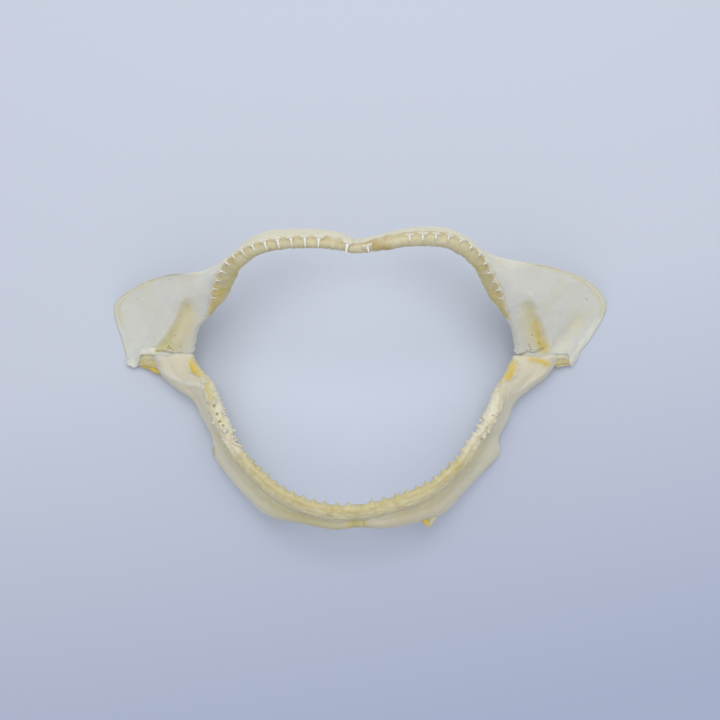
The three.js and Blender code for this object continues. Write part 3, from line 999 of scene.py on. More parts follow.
@dataclass
class Gum:
    """Skin of dried tissue folded over both tooth edges of one jaw, from joint to joint."""

    name: str
    left: ToothRow
    right: ToothRow
    labial: float
    lingual: float
    thick: float
    end: float
    narrows: float
    rims: tuple[float, float]
    papilla: float
    papilla_seat: float
    scallop: float
    front_tones: tuple[tuple[float, Tone], ...]
    arm_tones: tuple[tuple[float, Tone], ...]
    replaced: tuple[str, ...]
    creases: tuple[tuple[float, float, float], ...] = ()
    stains: tuple[Stroke, ...] = ()
    lips: tuple[Keys, Keys] = (((0, 0), (1, 0)), ((0, 0), (1, 0)))
    knobs: float = 0.0
    fill: float = 0.0
    fray: float = 0.2
    rough: float = 0.12
    rings: int = 300
    steps: int = 68
    bridge: int = 14

    def teeth_along(self, row: ToothRow, places: Array) -> Array:
        """Wave of height 1 at each tooth and -1 midway between teeth."""
        seats = row.places()
        phase = np.interp(places, seats, np.arange(row.count))
        early = (places - seats[0]) / (seats[1] - seats[0])
        return np.cos(2 * np.pi * np.where(places < seats[0], early, phase))

    def half(self, row: ToothRow) -> dict[str, Array]:
        """The skin over one plate, ring by ring from the front joint.

        Args:
            row: The plate's teeth, which the gum's ridges and hollows follow.

        Returns:
            Outer and inner points, and by outer point the distance along the outline, the place
            along the jaw and the height of creases and papillae.
        """
        plate = row.plate
        places = np.linspace(0, self.end, self.rings)
        cut = plate.cut(places)
        tooth = self.teeth_along(row, places)
        remains = self.end - places
        left = 0.3 + 0.7 * smoothstep(remains, 0, self.narrows)
        along = np.stack([places * 80, 0 * places, 0 * places], axis=-1)
        fray_low = 1 + self.fray * mottle(along, 3.0, 4, 2.0 + row.seed)
        fray_high = 1 + 0.5 * self.fray * mottle(along, 2.2, 3, 9.0 + row.seed)
        low = -NOSE - np.minimum(self.lingual * left * fray_low, cut.length * 0.8)
        high = NOSE + np.minimum(self.labial * left * fray_high, cut.length * 0.8)
        high = high + self.scallop * (0.5 - 0.5 * tooth) * smoothstep(remains, 0.0, 0.08)
        share = np.linspace(0, 1, self.steps)[None, :]
        distance = low[:, None] + (high - low)[:, None] * share
        body = smoothstep(distance - low[:, None], 0.0, self.rims[0]) ** 0.7
        body = body * smoothstep(high[:, None] - distance, 0.0, self.rims[1]) ** 0.7
        lift = -TUCK + (self.thick * (0.55 + 0.45 * left[:, None]) + TUCK) * body
        peak = hump(distance - self.papilla_seat, 0.7) * np.clip(tooth, 0, 1)[:, None] ** 2
        peak = peak * smoothstep(remains, 0.0, 0.08)[:, None]
        crease = np.zeros_like(distance)
        for seat, width, depth in self.creases:
            wander = 0.35 * mottle(along, 9.0, 2, seat)[:, None]
            crease = crease + depth * hump(distance - seat * left[:, None] - wander, width)
        ropes = np.stack(
            [places[:, None] * 22 + 0 * distance, distance * 1.6, 0 * distance + row.seed], axis=-1
        )
        flat = plate.outline(cut, distance, 0.0)
        relief = 0.12 * mottle(ropes, 1.0, 3, 5.0) + self.rough * mottle(flat, 1.3, 3, 6.0)
        on_arm = smoothstep(places, 0.42, 0.6)[:, None]
        relief = relief + self.knobs * on_arm * mottle(flat, 1.5, 2, 21.0)
        lip = eased(self.lips[0] if row is self.left else self.lips[1], places)
        lip = lip * (1 + 0.14 * mottle(along, 3.4, 2, 14.0 + row.seed))
        relief = relief + lip[:, None] * hump(distance + 0.4, 0.95)
        relief = relief + self.fill * left[:, None] * hump(distance - 1.4, 1.2)
        lift = lift + (self.papilla * peak - crease + relief) * body
        return {
            "outer": plate.outline(cut, distance, lift),
            "inner": plate.outline(cut, distance, -LINING),
            "distance": distance,
            "place": places[:, None] + 0 * distance,
            "peak": peak,
            "crease": crease,
        }

    def paint(self, skin: dict[str, Array]) -> Array:
        """Tones of the outer points."""
        outer, distance = skin["outer"], skin["distance"]
        wander = 0.5 * mottle(outer, 2.6, 3, 8.0)
        sides = []
        for stops in (self.front_tones, self.arm_tones):
            colours = np.broadcast_to(stops[0][1].linear, outer.shape).copy()
            for (low, _), (high, tone) in zip(stops[:-1], stops[1:]):
                colours = mix(colours, tone, smoothstep(distance + wander, low, high))
            sides.append(colours)
        on_arm = smoothstep(skin["place"] + 0.04 * mottle(outer, 5.0, 2, 4.0), 0.34, 0.56)
        colours = sides[0] + (sides[1] - sides[0]) * on_arm[..., None]
        blotches = smoothstep(mottle(outer, 3.4, 4, 11.0), 0.05, 0.8)
        colours = mix(colours, Tone.BROWN, 0.34 * blotches)
        colours = mix(colours, Tone.STRIP, 0.24 * smoothstep(mottle(outer, 2.2, 3, 17.0), 0.1, 0.7))
        # Painted shade: creases are darkened with BROWN in step with their depth.
        colours = mix(colours, Tone.BROWN, np.clip(6.5 * skin["crease"], 0, 0.5))
        colours = mix(colours, Tone.ROOT, 0.3 * skin["peak"])
        for stain in self.stains:
            if stain.tone:
                colours = mix(colours, stain.tone, stain.strength * stain.reach(outer))
        return colours

    def build(self, material: bpy.types.Material) -> bpy.types.Object:
        """Makes the gum of the whole jaw as one skin, bridged over the front joint.

        Args:
            material: The finish of dried gum.

        Returns:
            The new object.
        """
        left, right = self.half(self.left), self.half(self.right)
        share = (np.arange(self.bridge) + 1) / (self.bridge + 1)
        skin = {}
        for key, rows in left.items():
            part = share.reshape(-1, *[1] * (rows.ndim - 1))
            middle = rows[:1] * (1 - part) + right[key][:1] * part
            skin[key] = np.concatenate([rows[::-1], middle, right[key]])
        grid = np.concatenate([skin["outer"], skin["inner"][:, ::-1]], axis=1)
        colours = self.paint(skin)
        grid[..., 2] = np.maximum(grid[..., 2], 0.0)
        shell = Shell()
        shell.add_tube(grid, np.concatenate([colours, colours[:, ::-1]], axis=1))
        piece = shell.build(self.name, material, "gum_and_teeth")
        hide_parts(*self.replaced)
        return piece


# ---- Dried tissue ------------------------------------------------------------------------------


@dataclass
class Strand:
    """A cord or shred of dried tissue along a path, with a ragged, flattened section."""

    path: tuple[tuple[float, float, float], ...]
    radii: tuple[float, ...]
    tone: Tone
    flat: float = 0.6
    ragged: float = 0.35
    rings: int = 34
    steps: int = 16
    second: Tone | None = None

    def add(self, shell: Shell) -> None:
        """Adds the strand to a shell."""
        line = GuideLine(np.array(self.path, float))
        shares = np.linspace(0, 1, self.rings)
        centres = line.at(shares)
        along = np.gradient(centres, axis=0)
        along /= np.linalg.norm(along, axis=-1, keepdims=True)
        flat = np.cross(np.array((0.0, 0.0, 1.0)), along)
        flat /= np.maximum(np.linalg.norm(flat, axis=-1, keepdims=True), 1e-6)
        rise = np.cross(along, flat)
        radius = np.interp(shares, np.linspace(0, 1, len(self.radii)), self.radii)
        turns = np.linspace(0, 2 * np.pi, self.steps + 1)[:-1]
        grid = (
            centres[:, None, :]
            + (radius[:, None] * np.cos(turns))[..., None] * flat[:, None, :]
            + (radius[:, None] * self.flat * np.sin(turns))[..., None] * rise[:, None, :]
        )
        bumps = self.ragged * mottle(grid, 1.3, 4, 2.2)
        grid = centres[:, None, :] + (grid - centres[:, None, :]) * (1 + bumps)[..., None]
        grid[..., 2] = np.maximum(grid[..., 2], 0.0)
        colours = np.broadcast_to(self.tone.linear, grid.shape).copy()
        other = self.second or Tone.BROWN
        colours = mix(colours, other, 0.7 * smoothstep(mottle(grid, 1.8, 3, 5.5), 0.0, 0.7))
        shell.add_tube(grid, colours)


@dataclass
class JointSkin:
    """Dried tissue folded over a lower cartilage's tooth edge, from the gum to the jaw joint."""

    name: str
    plate: Plate
    replaced: str
    start: float = 0.83
    end: float = 0.985
    labial: float = 2.6
    lingual: float = 2.4
    thick: float = 0.5
    rings: int = 60
    steps: int = 40

    def build(self, material: bpy.types.Material) -> bpy.types.Object:
        """Makes the fold.

        Args:
            material: The finish of dried tissue.

        Returns:
            The new object.
        """
        share = np.linspace(0, 1, self.rings)
        places = self.start + (self.end - self.start) * share
        cut = self.plate.cut(places)
        full = np.sin(np.pi * np.clip(share, 0.02, 0.98)) ** 0.6
        along = np.stack([share * 12, 0 * share, 0 * share], axis=-1)
        low = -NOSE - self.lingual * (1 + 0.25 * mottle(along, 2.0, 3, 3.0)) * (0.4 + 0.6 * full)
        high = NOSE + self.labial * (1 + 0.3 * mottle(along, 1.4, 3, 5.0)) * full
        steps = np.linspace(0, 1, self.steps)[None, :]
        distance = low[:, None] + (high - low)[:, None] * steps
        body = smoothstep(distance - low[:, None], 0, 1.0) ** 0.7 * full[:, None]
        body = body * smoothstep(high[:, None] - distance, 0, self.labial)
        flat = self.plate.outline(cut, distance, 0.0)
        folds = mottle(flat * np.array((1.0, 0.45, 1.0)), 1.1, 4, 6.0)
        outer = self.plate.outline(cut, distance, -TUCK + (self.thick + 0.22 * folds) * body)
        inner = self.plate.outline(cut, distance, -LINING)
        colours = np.broadcast_to(Tone.STRAW.linear, outer.shape).copy()
        strong = full[:, None] ** 2 * hump(distance - 0.7 + 0.4 * folds, 0.55)
        colours = mix(colours, Tone.PLATE, smoothstep(distance, 0.7, 1.6))
        colours = mix(colours, Tone.AMBER, np.clip(1.15 * strong, 0, 1))
        # Painted shade: the low parts of the folds are darkened with BROWN.
        colours = mix(colours, Tone.BROWN, 0.3 * smoothstep(-folds, 0.1, 0.7))
        shell = Shell()
        shell.add_tube(
            np.concatenate([outer, inner[:, ::-1]], axis=1),
            np.concatenate([colours, colours[:, ::-1]], axis=1),
        )
        piece = shell.build(self.name, material, "dried_tissue")
        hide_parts(self.replaced)
        return piece


@dataclass
class FrontLigament:
    """Ligament between a jaw's two cartilages at the front, a little waisted."""

    name: str
    left: Cartilage
    right: Cartilage
    tone: Tone
    replaced: str
    rings: int = 18

    def build(self, material: bpy.types.Material) -> bpy.types.Object:
        """Makes the ligament.

        Args:
            material: The finish of dried tissue.

        Returns:
            The new object.
        """
        first = self.left.surface(self.left.plate.cut(np.array([0.004])))[0][0]
        last = self.right.surface(self.right.plate.cut(np.array([0.004])))[0][0]
        shares = np.linspace(0, 1, self.rings)
        rings = []
        for share in shares:
            ring = first * (1 - share) + last * share
            middle = (ring + ring[::-1]) / 2
            waist = 0.99 - 0.1 * math.sin(math.pi * share)
            rings.append(middle + (ring - middle) * waist)
        grid = np.stack(rings)
        grid = grid + grid_normals(grid) * (0.12 * mottle(grid, 1.4, 4, 3.3))[..., None]
        colours = np.broadcast_to(self.tone.linear, grid.shape).copy()
        colours = mix(colours, Tone.STRAW, smoothstep(mottle(grid, 2.0, 3, 1.0), 0.1, 0.8))
        shell = Shell()
        shell.add_tube(grid, colours)
        piece = shell.build(self.name, material, "dried_tissue")
        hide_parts(self.replaced)
        return piece


@dataclass
class Tissue:
    """A group of strands that is one piece, and the solids that it stands for."""

    name: str
    strands: tuple[Strand, ...]
    replaced: tuple[str, ...] = ()

    def build(self, material: bpy.types.Material) -> bpy.types.Object:
        """Makes the piece.

        Args:
            material: The finish of dried tissue.

        Returns:
            The new object.
        """
        shell = Shell()
        for strand in self.strands:
            strand.add(shell)
        piece = shell.build(self.name, material, "dried_tissue")
        if self.replaced:
            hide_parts(*self.replaced)
        return piece


@dataclass
class Pores:
    """Small dark pits in the cartilage and gum, set on the surface that lies under each spot."""

    name: str
    spots: tuple[tuple[float, float, float], ...]
    tone: Tone
    sink: float = 0.35

    def build(
        self, carriers: list[bpy.types.Object], material: bpy.types.Material
    ) -> bpy.types.Object:
        """Makes the pits.

        Args:
            carriers: The pieces that have the pits.
            material: The finish of dried tissue.

        Returns:
            The new object.
        """
        trees = [
            BVHTree.FromPolygons(
                [vertex.co[:] for vertex in piece.data.vertices],
                [face.vertices[:] for face in piece.data.polygons],
            )
            for piece in carriers
        ]
        turns = np.linspace(0, 2 * np.pi, 9)[:-1]
        shell = Shell()
        for x, y, radius in self.spots:
            start = Vector(((x - CENTRE[0]) * MM, (y - CENTRE[1]) * MM, RAY_START))
            hits = [tree.ray_cast(start, Vector((0, 0, -1))) for tree in trees]
            hits = [hit for hit in hits if hit[0] is not None]
            if not hits:
                continue
            place, normal = max(hits, key=lambda hit: hit[0].z)[:2]
            centre = np.array(place) / MM + CENTRE
            up = np.array(normal)
            side = np.cross(up, (0.0, 1.0, 0.0))
            side /= np.linalg.norm(side)
            fore = np.cross(side, up)
            rings = []
            for angle in np.linspace(0.15, np.pi - 0.15, 6):
                wide, rise = radius * math.sin(angle), radius * self.sink * math.cos(angle)
                rings.append(
                    centre
                    + up * rise * 0.5
                    + wide * (np.cos(turns)[:, None] * side + np.sin(turns)[:, None] * fore)
                )
            grid = np.stack(rings)
            shell.add_tube(grid, np.broadcast_to(self.tone.linear, grid.shape))
        return shell.build(self.name, material, "dried_tissue")


# ---- Stage -------------------------------------------------------------------------------------


@dataclass(frozen=True)
class Studio:
    """Pale paper with painted shade and light, one broad soft light and a camera that looks
    straight down.
    """

    paper: tuple[float, float, float] = (0.592, 0.647, 0.783)
    # Painted shade: the paper is mixed towards this darker colour towards the lower right, where
    # the light falls off.
    painted_shade: tuple[float, float, float] = (0.425, 0.49, 0.69)
    painted_shade_way: tuple[float, float, float] = (0.2, -1.0, 0.0)
    painted_shade_span: tuple[float, float] = (-0.02, 0.11)
    # Painted light: a pool that brightens the paper round the middle of the jaws.
    painted_light_centre: tuple[float, float, float] = (0.0, -0.006, 0.0)
    painted_light_span: tuple[float, float] = (0.03, 0.05)
    painted_light_gain: float = 1.18
    paper_size: float = 3.0
    camera_height: float = 345.0
    camera_aim: tuple[float, float] = (0.0, 6.7)
    sensor_width: float = 36.0
    focal_share: float = 1130 / 720  # focal length over the sensor's width
    light_way: tuple[float, float, float] = (0.0, 0.4, 0.9)
    light_distance: float = 0.6
    light_size: float = 0.4
    light_power: float = 1.45
    sky: float = 0.62

    def paper_material(self) -> bpy.types.Material:
        """Makes matt paper with painted shade that darkens it towards the lower right, and a
        painted pool of light round the middle of the jaws.
        """
        material = bpy.data.materials.new("Pale paper")
        material.use_nodes = True
        nodes, links = material.node_tree.nodes, material.node_tree.links
        shader = nodes["Principled BSDF"]
        shader.inputs["Roughness"].default_value = 0.9
        place = nodes.new("ShaderNodeTexCoord")
        travel = nodes.new("ShaderNodeVectorMath")
        travel.operation = "DOT_PRODUCT"
        travel.inputs[1].default_value = self.painted_shade_way
        share = nodes.new("ShaderNodeMapRange")
        share.inputs["From Min"].default_value, share.inputs["From Max"].default_value = (
            self.painted_shade_span
        )
        # Painted shade: mixes the paper towards its darker colour towards the lower right.
        tint = nodes.new("ShaderNodeMix")
        tint.data_type = "RGBA"
        for socket, value in ((tint.inputs[6], self.paper), (tint.inputs[7], self.painted_shade)):
            socket.default_value = (*value, 1.0)
        links.new(place.outputs["Object"], travel.inputs[0])
        links.new(travel.outputs["Value"], share.inputs["Value"])
        links.new(share.outputs["Result"], tint.inputs["Factor"])
        # Painted light: the paper is brightened round the middle of the jaws.
        away = nodes.new("ShaderNodeVectorMath")
        away.operation = "DISTANCE"
        away.inputs[1].default_value = self.painted_light_centre
        gain = nodes.new("ShaderNodeMapRange")
        gain.interpolation_type = "SMOOTHSTEP"
        gain.inputs["From Min"].default_value, gain.inputs["From Max"].default_value = (
            self.painted_light_span
        )
        gain.inputs["To Min"].default_value = self.painted_light_gain
        gain.inputs["To Max"].default_value = 1.0
        lit = nodes.new("ShaderNodeVectorMath")
        lit.operation = "SCALE"
        links.new(place.outputs["Object"], away.inputs[0])
        links.new(away.outputs["Value"], gain.inputs["Value"])
        links.new(tint.outputs[2], lit.inputs[0])
        links.new(gain.outputs["Result"], lit.inputs["Scale"])
        links.new(lit.outputs["Vector"], shader.inputs["Base Color"])
        return material

    def build(self) -> None:
        """Makes the floor, the light, the room's sky and the camera."""
        scene = bpy.context.scene
        scene.view_settings.view_transform = "Standard"
        bpy.ops.mesh.primitive_plane_add(size=self.paper_size, location=(0, 0, -FLOOR_DROP))
        floor = bpy.context.active_object
        floor.name = "paper"
        floor.data.materials.append(self.paper_material())

        light = bpy.data.lights.new("Window", "AREA")
        light.shape, light.size, light.size_y = "RECTANGLE", self.light_size, self.light_size
        light.energy, light.color = self.light_power, (1.0, 0.985, 0.96)
        lamp = bpy.data.objects.new("Window", light)
        way = Vector(self.light_way).normalized()
        lamp.location = way * self.light_distance
        lamp.rotation_mode = "QUATERNION"
        lamp.rotation_quaternion = way.to_track_quat("Z", "Y")
        scene.collection.objects.link(lamp)

        world = bpy.data.worlds.new("Room")
        world.use_nodes = True
        sky = world.node_tree.nodes["Background"]
        sky.inputs["Color"].default_value = (1.0, 0.99, 0.965, 1.0)
        sky.inputs["Strength"].default_value = self.sky
        scene.world = world

        lens = bpy.data.cameras.new("Camera")
        lens.sensor_width = self.sensor_width
        lens.lens = self.sensor_width * self.focal_share
        lens.clip_start, lens.clip_end = 0.01, 10.0
        camera = bpy.data.objects.new("Camera", lens)
        aim = (np.array((*self.camera_aim, self.camera_height)) - CENTRE) * MM
        camera.location = Vector(aim)
        scene.collection.objects.link(camera)
        scene.camera = camera
        log.info("studio: camera %.0f mm above the floor", self.camera_height)


# ---- The jaws ----------------------------------------------------------------------------------

# Strokes: the path, then width, tone, strength of the tint and rise of the surface. The tint is a
# stain, except for the ENAMEL strokes on the wings' edges, which are painted highlights.
LEFT_STROKES = (
    Stroke(((-50.2, 21.8), (-52.1, 19.2), (-54.4, 15.4), (-56.8, 12.2)), 2.1,
           Tone.KHAKI, 0.85, -0.3),
    Stroke(((-54.4, 16.2), (-57.0, 12.6), (-59.2, 10.6)), 1.2, Tone.OLIVE, 0.55),
    Stroke(((-61.6, 9.8), (-58.0, 10.8), (-54.4, 10.4)), 1.5, Tone.OLIVE, 0.65, -0.15),
    Stroke(((-51.8, 24.0), (-53.6, 20.6), (-56.7, 16.0), (-59.6, 12.6), (-62.6, 9.9)), 0.7,
           Tone.WING, 0.8, 0.5),
    Stroke(((-53.6, 11.4), (-51.6, 14.8), (-50.0, 19.2)), 2.4, Tone.STRAW, 0.8, 0.15),
    Stroke(((-61.0, 9.4), (-58.4, 9.3), (-55.4, 8.5), (-52.6, 8.6)), 0.3, Tone.UMBER, 0.5, -0.35),
    # Painted highlight: near-white along the raised folded edge of the wing's lobe.
    Stroke(((-62.0, 9.6), (-64.5, 8.0), (-65.6, 5.8)), 0.9, Tone.ENAMEL, 0.6, 0.35),
)
RIGHT_STROKES = (
    Stroke(((48.4, 22.0), (49.9, 19.0), (51.9, 15.4), (53.4, 12.5), (54.7, 10.3)), 1.9,
           Tone.KHAKI, 0.8, -0.3),
    Stroke(((51.0, 17.0), (52.6, 13.6), (54.6, 10.6)), 1.7, Tone.AMBER, 0.95),
    Stroke(((49.2, 25.6), (51.6, 22.2), (53.8, 18.4), (55.8, 15.0), (57.2, 11.4)), 0.8,
           Tone.WING, 0.8, 0.5),
    Stroke(((50.4, 11.4), (49.4, 15.6), (47.8, 19.6)), 2.2, Tone.STRAW, 0.6, 0.15),
    Stroke(((47.9, 8.3), (49.8, 9.1), (52.1, 8.9), (54.5, 10.1)), 0.3, Tone.UMBER, 0.55, -0.35),
    Stroke(((58.5, 10.5), (62.5, 14.5), (66.0, 19.0)), 2.2, Tone.STRAW, 0.3, -0.45),
    # Painted highlight: near-white along the wing's lower right margin, where it faces the light.
    Stroke(((63.5, 5.6), (68.5, 12.6), (72.6, 18.6)), 0.9, Tone.ENAMEL, 0.5, 0.3),
)
LOWER_LEFT_STROKES = (
    Stroke(((-59.8, 3.8), (-56.4, 1.6), (-51.6, -0.4), (-47.6, -0.8)), 0.8, Tone.WING, 0.5, 0.35),
    Stroke(((-60.4, 7.6), (-61.6, 9.0)), 1.2, Tone.WING, 0.7, 0.4),
    Stroke(((-44.2, -22.0), (-44.0, -19.6)), 0.35, Tone.PIT, 0.7, -0.3),
    Stroke(((-0.6, -39.6), (-1.8, -41.8)), 1.7, Tone.AMBER, 0.7),
)
LOWER_RIGHT_STROKES = (
    Stroke(((57.0, 4.4), (52.4, 1.0), (46.6, -3.0)), 0.8, Tone.WING, 0.4, 0.3),
    Stroke(((50.6, 7.0), (53.0, 6.6), (56.4, 5.2)), 0.75, Tone.AMBER, 0.9, 0.25),
    Stroke(((58.6, 8.8), (57.0, 8.8)), 1.3, Tone.WING, 0.6, 0.4),
    Stroke(((0.8, -40.0), (1.2, -42.0)), 1.3, Tone.AMBER, 0.6),
)
GUM_STAINS = (
    Stroke(((-45.9, 0.0), (-46.4, -3.1)), 0.3, Tone.ENAMEL, 1.0),
    Stroke(((-45.2, 0.6), (-43.4, -4.6)), 0.9, Tone.OLIVE, 0.75),
    Stroke(((-43.2, -6.0), (-36.2, -17.4)), 0.5, Tone.OLIVE, 0.4),
    Stroke(((-39.4, 25.4), (-42.2, 20.6)), 1.5, Tone.AMBER, 0.5),
    Stroke(((37.4, 24.8), (40.4, 19.8)), 1.4, Tone.AMBER, 0.5),
    Stroke(((2.6, 37.6), (5.4, 36.4), (7.6, 36.2)), 1.1, Tone.BROWN, 0.6),
)
WING_BANDS = (
    Band(Tone.STRIP, 0.3, 0.8, 0.7, 0.55, 0.97),
    Band(Tone.RIM, 1.9, 0.6, 0.6, 0.6, 0.84),
)
JAW_BANDS = (
    # Partly the margin's own pale rim, partly a painted highlight where the lower arms' outer faces
    # catch the light.
    Band(Tone.STRIP, 0.4, 3.0, 1.0, 0.26, 0.7),
    Band(Tone.KHAKI, 4.6, 3.6, 0.6, 0.12, 0.6, from_edge=True),
)

# Pores of the cartilage and holes of shed teeth: x, y and radius.
PORES = (
    (-56.7, 10.9, 0.22), (-56.3, 10.2, 0.24), (-56.0, 11.8, 0.18), (-57.0, 10.3, 0.2),
    (-54.4, 13.9, 0.16), (-53.1, 10.7, 0.17), (-55.5, 9.8, 0.15), (-57.4, 11.6, 0.14),
    (50.5, 14.0, 0.2), (49.7, 11.4, 0.2), (50.2, 10.7, 0.22), (50.6, 9.9, 0.24),
    (51.0, 8.9, 0.18), (52.8, 11.9, 0.2), (53.2, 11.5, 0.17), (53.8, 10.2, 0.22),
    (46.8, 11.4, 0.17), (47.4, 8.5, 0.18), (52.7, 14.5, 0.15), (49.3, 9.6, 0.16),
    (-66.7, 25.1, 0.16), (-55.5, 30.2, 0.17), (68.1, 25.0, 0.2), (69.0, 27.1, 0.15),
    (-44.4, -20.6, 0.25), (-44.2, -21.8, 0.2),
)
HOLES = (
    (-42.4, -6.6, 0.5), (-41.5, -8.9, 0.46), (-40.7, -11.1, 0.5), (-39.6, -12.3, 0.4),
    (-38.6, -14.2, 0.5), (-37.1, -16.3, 0.45), (-35.7, -17.6, 0.55), (36.8, -12.9, 0.3),
    (38.5, -9.4, 0.28), (35.2, -16.2, 0.3),
)


def tissues() -> tuple[Tissue, ...]:
    """Folds and shreds of dried tissue, and a thin fibre by the lower gum's inner edge."""
    return (
        Tissue(
            "wing_fold_left",
            (
                Strand(((-67.0, 6.4, 2.2), (-65.4, 7.8, 3.2), (-63.8, 8.2, 4.0), (-61.2, 7.8, 4.8)),
                       (0.8, 1.4, 1.6, 1.2), Tone.STRAW, 0.6, 0.2, second=Tone.KHAKI),
                Strand(((-67.4, 5.4, 1.6), (-65.4, 6.2, 2.5), (-63.4, 6.4, 3.3), (-60.6, 5.2, 3.6)),
                       (0.6, 1.4, 1.7, 1.3), Tone.KHAKI, 0.6, 0.22, second=Tone.AMBER),
                Strand(((-66.8, 5.0, 1.1), (-64.6, 5.0, 1.9), (-62.6, 4.4, 2.5), (-60.2, 2.8, 2.4)),
                       (0.4, 1.0, 1.3, 0.8), Tone.AMBER, 0.6, 0.2, second=Tone.BROWN),
            ),
            ("wing_tissue_left",),
        ),
        Tissue(
            "wing_fold_right",
            (
                Strand(((64.2, 6.4, 1.9), (62.6, 7.8, 3.0), (60.8, 8.4, 4.0), (58.4, 8.0, 4.8)),
                       (0.7, 1.3, 1.5, 1.2), Tone.STRIP, 0.6, 0.2, second=Tone.STRAW),
                Strand(((64.4, 5.6, 1.5), (62.6, 6.6, 2.4), (60.8, 6.8, 3.2), (58.4, 6.0, 3.8)),
                       (0.5, 1.3, 1.5, 1.2), Tone.KHAKI, 0.6, 0.2, second=Tone.AMBER),
                Strand(((63.8, 5.2, 1.1), (61.8, 5.6, 1.9), (59.4, 5.0, 2.4)),
                       (0.3, 0.9, 0.7), Tone.STRAW, 0.6, 0.2, second=Tone.AMBER),
            ),
            ("wing_tissue_right",),
        ),
        Tissue(
            "shreds",
            (
                Strand(((18.3, -39.4, 12.2), (19.4, -41.0, 11.6), (20.4, -42.5, 11.0)),
                       (0.9, 0.95, 0.3), Tone.AMBER, 0.6, 0.2, second=Tone.STRAW),
                Strand(((22.0, -38.4, 10.8), (21.2, -40.2, 10.8), (20.6, -42.4, 10.8)),
                       (1.4, 1.2, 0.2), Tone.BEIGE, 0.5, 0.12, second=Tone.KHAKI),
                Strand(((9.9, -32.6, 21.6), (11.2, -31.2, 22.8), (12.4, -30.0, 23.2),
                        (13.1, -30.5, 23.0)),
                       (0.13, 0.11, 0.1, 0.06), Tone.STRAW, 1.0, 0.1, rings=16, steps=8),
                Strand(((-36.9, -17.0, 18.4), (-35.2, -17.8, 18.8), (-33.8, -18.2, 19.0)),
                       (0.4, 0.28, 0.06), Tone.STRAW, 0.7, 0.2, second=Tone.ROOT),
                Strand(UPPER_RIGHT.spots((0.10, -3.2, 0.5), (0.14, -3.8, 0.6), (0.18, -3.4, 0.4)),
                       (0.5, 1.0, 0.4), Tone.BROWN, 0.8, 0.25, second=Tone.AMBER),
                Strand(UPPER_LEFT.spots((0.66, -3.2, 0.3), (0.69, -3.9, 0.5), (0.72, -3.4, 0.2)),
                       (0.4, 0.9, 0.3), Tone.STRAW, 0.7, 0.2, second=Tone.STRIP),
            ),
        ),
    )


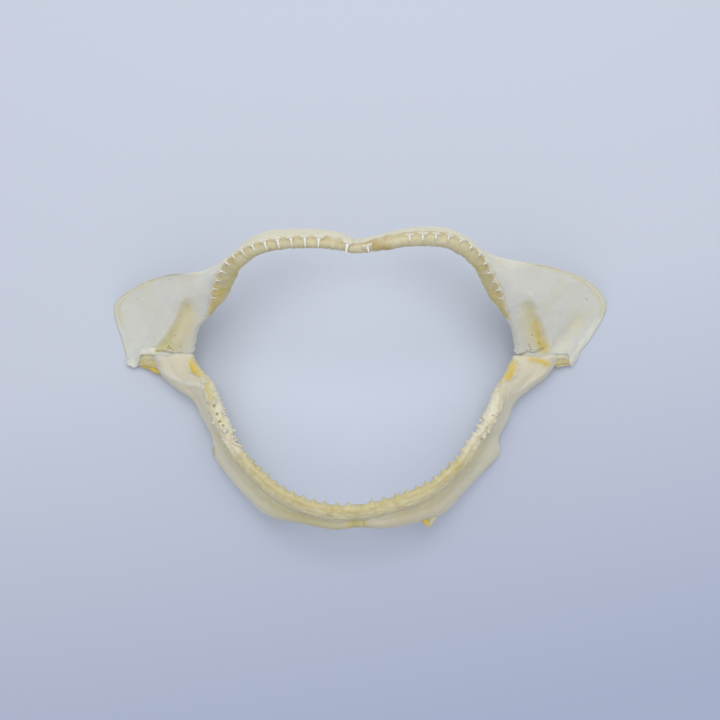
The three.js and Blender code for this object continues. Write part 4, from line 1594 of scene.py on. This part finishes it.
def main() -> None:
    """Builds the jaws piece by piece, then the stage."""
    logging.basicConfig(level=logging.INFO, format="%(name)s %(message)s")
    group = dried_surface()
    finish = {kind.name: kind.material(group) for kind in (CARTILAGE, GUM, TISSUE, ENAMEL)}

    wing_tones = ((0.0, Tone.STRIP), (0.4, Tone.STRIP), (0.62, Tone.WING))
    # The lower cartilages lighten from front to joint: the cream plate near the joint is their own
    # colour, and the lighter STRIP along the arms is partly painted light.
    beige_tones = ((0.0, Tone.BEIGE), (0.16, Tone.BEIGE), (0.36, Tone.STRIP), (0.8, Tone.PLATE))
    blush_tones = ((0.0, Tone.BLUSH), (0.2, Tone.BLUSH), (0.5, Tone.STRIP), (0.8, Tone.PLATE))
    wing = dict(tones=wing_tones, bands=WING_BANDS, bevel=0.4)
    arch = dict(bands=JAW_BANDS, end_place=0.975, face_steps=46)
    upper_left = Cartilage(UPPER_LEFT, strokes=LEFT_STROKES, **wing)
    upper_right = Cartilage(UPPER_RIGHT, strokes=RIGHT_STROKES, **wing)
    lower_left = Cartilage(LOWER_LEFT, beige_tones, LOWER_LEFT_STROKES, **arch)
    lower_right = Cartilage(LOWER_RIGHT, blush_tones, LOWER_RIGHT_STROKES, **arch)
    halves = [
        cartilage.build(finish[CARTILAGE.name])
        for cartilage in (upper_left, upper_right, lower_left, lower_right)
    ]

    upper = dict(
        count=15, first=2.0, pitch=3.9, last_pitch=3.3, root=3.3, lean=0.7, shrink=0.45,
        slant=0.4,
    )
    lower = dict(
        count=15, first=2.0, pitch=3.7, last_pitch=2.7, height=1.9, root=1.2, lean=0.35, seat=-0.7,
        stand=0.38, girth=0.95, enamel=Tone.STRAW, tip=Tone.STRIP,
    )
    spare = dict(
        pitch=1.9, last_pitch=1.7, height=1.5, root=1.3, lean=0.2, shrink=0.8, girth=1.3,
        stand=0.55, enamel=Tone.STRIP, tip=Tone.ENAMEL, scatter=0.9,
    )
    rows = {
        "upper": (
            ToothRow(UPPER_LEFT, height=4.7, stand=1.5, seat=0.45, settle=0.3, seed=1,
                     missing=(1,), **upper),
            ToothRow(UPPER_RIGHT, height=3.1, stand=1.8, seat=0.2, settle=0.5, seed=2,
                     missing=(1, 2), **upper),
        ),
        "lower": (
            ToothRow(LOWER_LEFT, seed=3, **lower),
            ToothRow(LOWER_RIGHT, seed=4, **lower),
        ),
        "spare": (
            ToothRow(LOWER_LEFT, count=12, first=44.0, seat=0.5, seed=7, **spare),
            ToothRow(LOWER_LEFT, count=9, first=45.0, seat=-0.7, seed=8, **spare),
            ToothRow(LOWER_RIGHT, count=6, first=42.0, seat=0.3, seed=9, **spare),
        ),
    }
    gums = [
        Gum(
            "upper_gum", *rows["upper"], labial=0.3, lingual=3.0, thick=0.6, end=0.84, narrows=0.2,
            rims=(1.0, 0.9), papilla=0.15, papilla_seat=0.9, scallop=0.5,
            # Painted shade: the front's lingual rim faces away from the light and is darkened to
            # BROWN.
            front_tones=((-2.4, Tone.BROWN), (-0.9, Tone.KHAKI), (-0.1, Tone.BEIGE),
                         (0.7, Tone.BEIGE), (1.4, Tone.STRIP)),
            arm_tones=((-1.8, Tone.BEIGE), (-0.8, Tone.OLIVE), (-0.1, Tone.OLIVE),
                       (0.5, Tone.BEIGE), (1.1, Tone.STRIP)),
            replaced=("upper_teeth_left", "upper_teeth_right"),
            creases=((-1.0, 0.25, 0.05), (0.5, 0.25, 0.05)), stains=GUM_STAINS, fray=0.26,
            rough=0.2,
            lips=(((0, 0.5), (0.1, 0.9), (0.45, 0.7), (0.6, 2.1), (0.74, 2.0), (0.83, 0)),
                  ((0, 0.5), (0.12, 1.5), (0.34, 1.5), (0.5, 0.6), (0.7, 0.9), (0.83, 0))),
        ),
        Gum(
            "lower_gum", *rows["lower"], labial=3.6, lingual=4.2, thick=0.6, end=0.85, narrows=0.2,
            rims=(1.0, 3.0), papilla=0.8, papilla_seat=-0.9, scallop=0.2,
            front_tones=((-2.0, Tone.KHAKI), (0.4, Tone.KHAKI), (1.2, Tone.STRAW),
                         (2.4, Tone.STRAW), (3.6, Tone.BEIGE)),
            arm_tones=((-2.0, Tone.KHAKI), (-0.4, Tone.STRIP), (1.0, Tone.STRIP),
                       (1.8, Tone.STRAW), (4.0, Tone.STRAW)),
            replaced=("lower_teeth_left", "lower_teeth_right"),
            creases=((0.5, 0.18, 0.05), (1.5, 0.2, 0.05), (2.7, 0.2, 0.02)), stains=GUM_STAINS,
            knobs=0.3, fill=0.15,
        ),
    ]
    skins = [gum.build(finish[GUM.name]) for gum in gums]
    for name, pair in rows.items():
        shell = Shell()
        for row in pair:
            row.add(shell)
        shell.build(f"{name}_tooth_row", finish[ENAMEL.name], "gum_and_teeth")

    for name, left, right, tone in (
        ("upper_front_ligament", upper_left, upper_right, Tone.STRIP),
        ("lower_front_ligament", lower_left, lower_right, Tone.OLIVE),
    ):
        FrontLigament(f"{name}_dried", left, right, tone, name).build(finish[TISSUE.name])
    for side, plate in (("left", LOWER_LEFT), ("right", LOWER_RIGHT)):
        JointSkin(f"joint_fold_{side}", plate, f"joint_tissue_{side}").build(finish[TISSUE.name])
    for tissue in tissues():
        tissue.build(finish[TISSUE.name])
    for name, spots, tone in (("pores", PORES, Tone.UMBER), ("tooth_holes", HOLES, Tone.PIT)):
        Pores(name, spots, tone).build([*halves, *skins], finish[TISSUE.name])
    Studio().build()


if __name__ == "__main__":
    main()
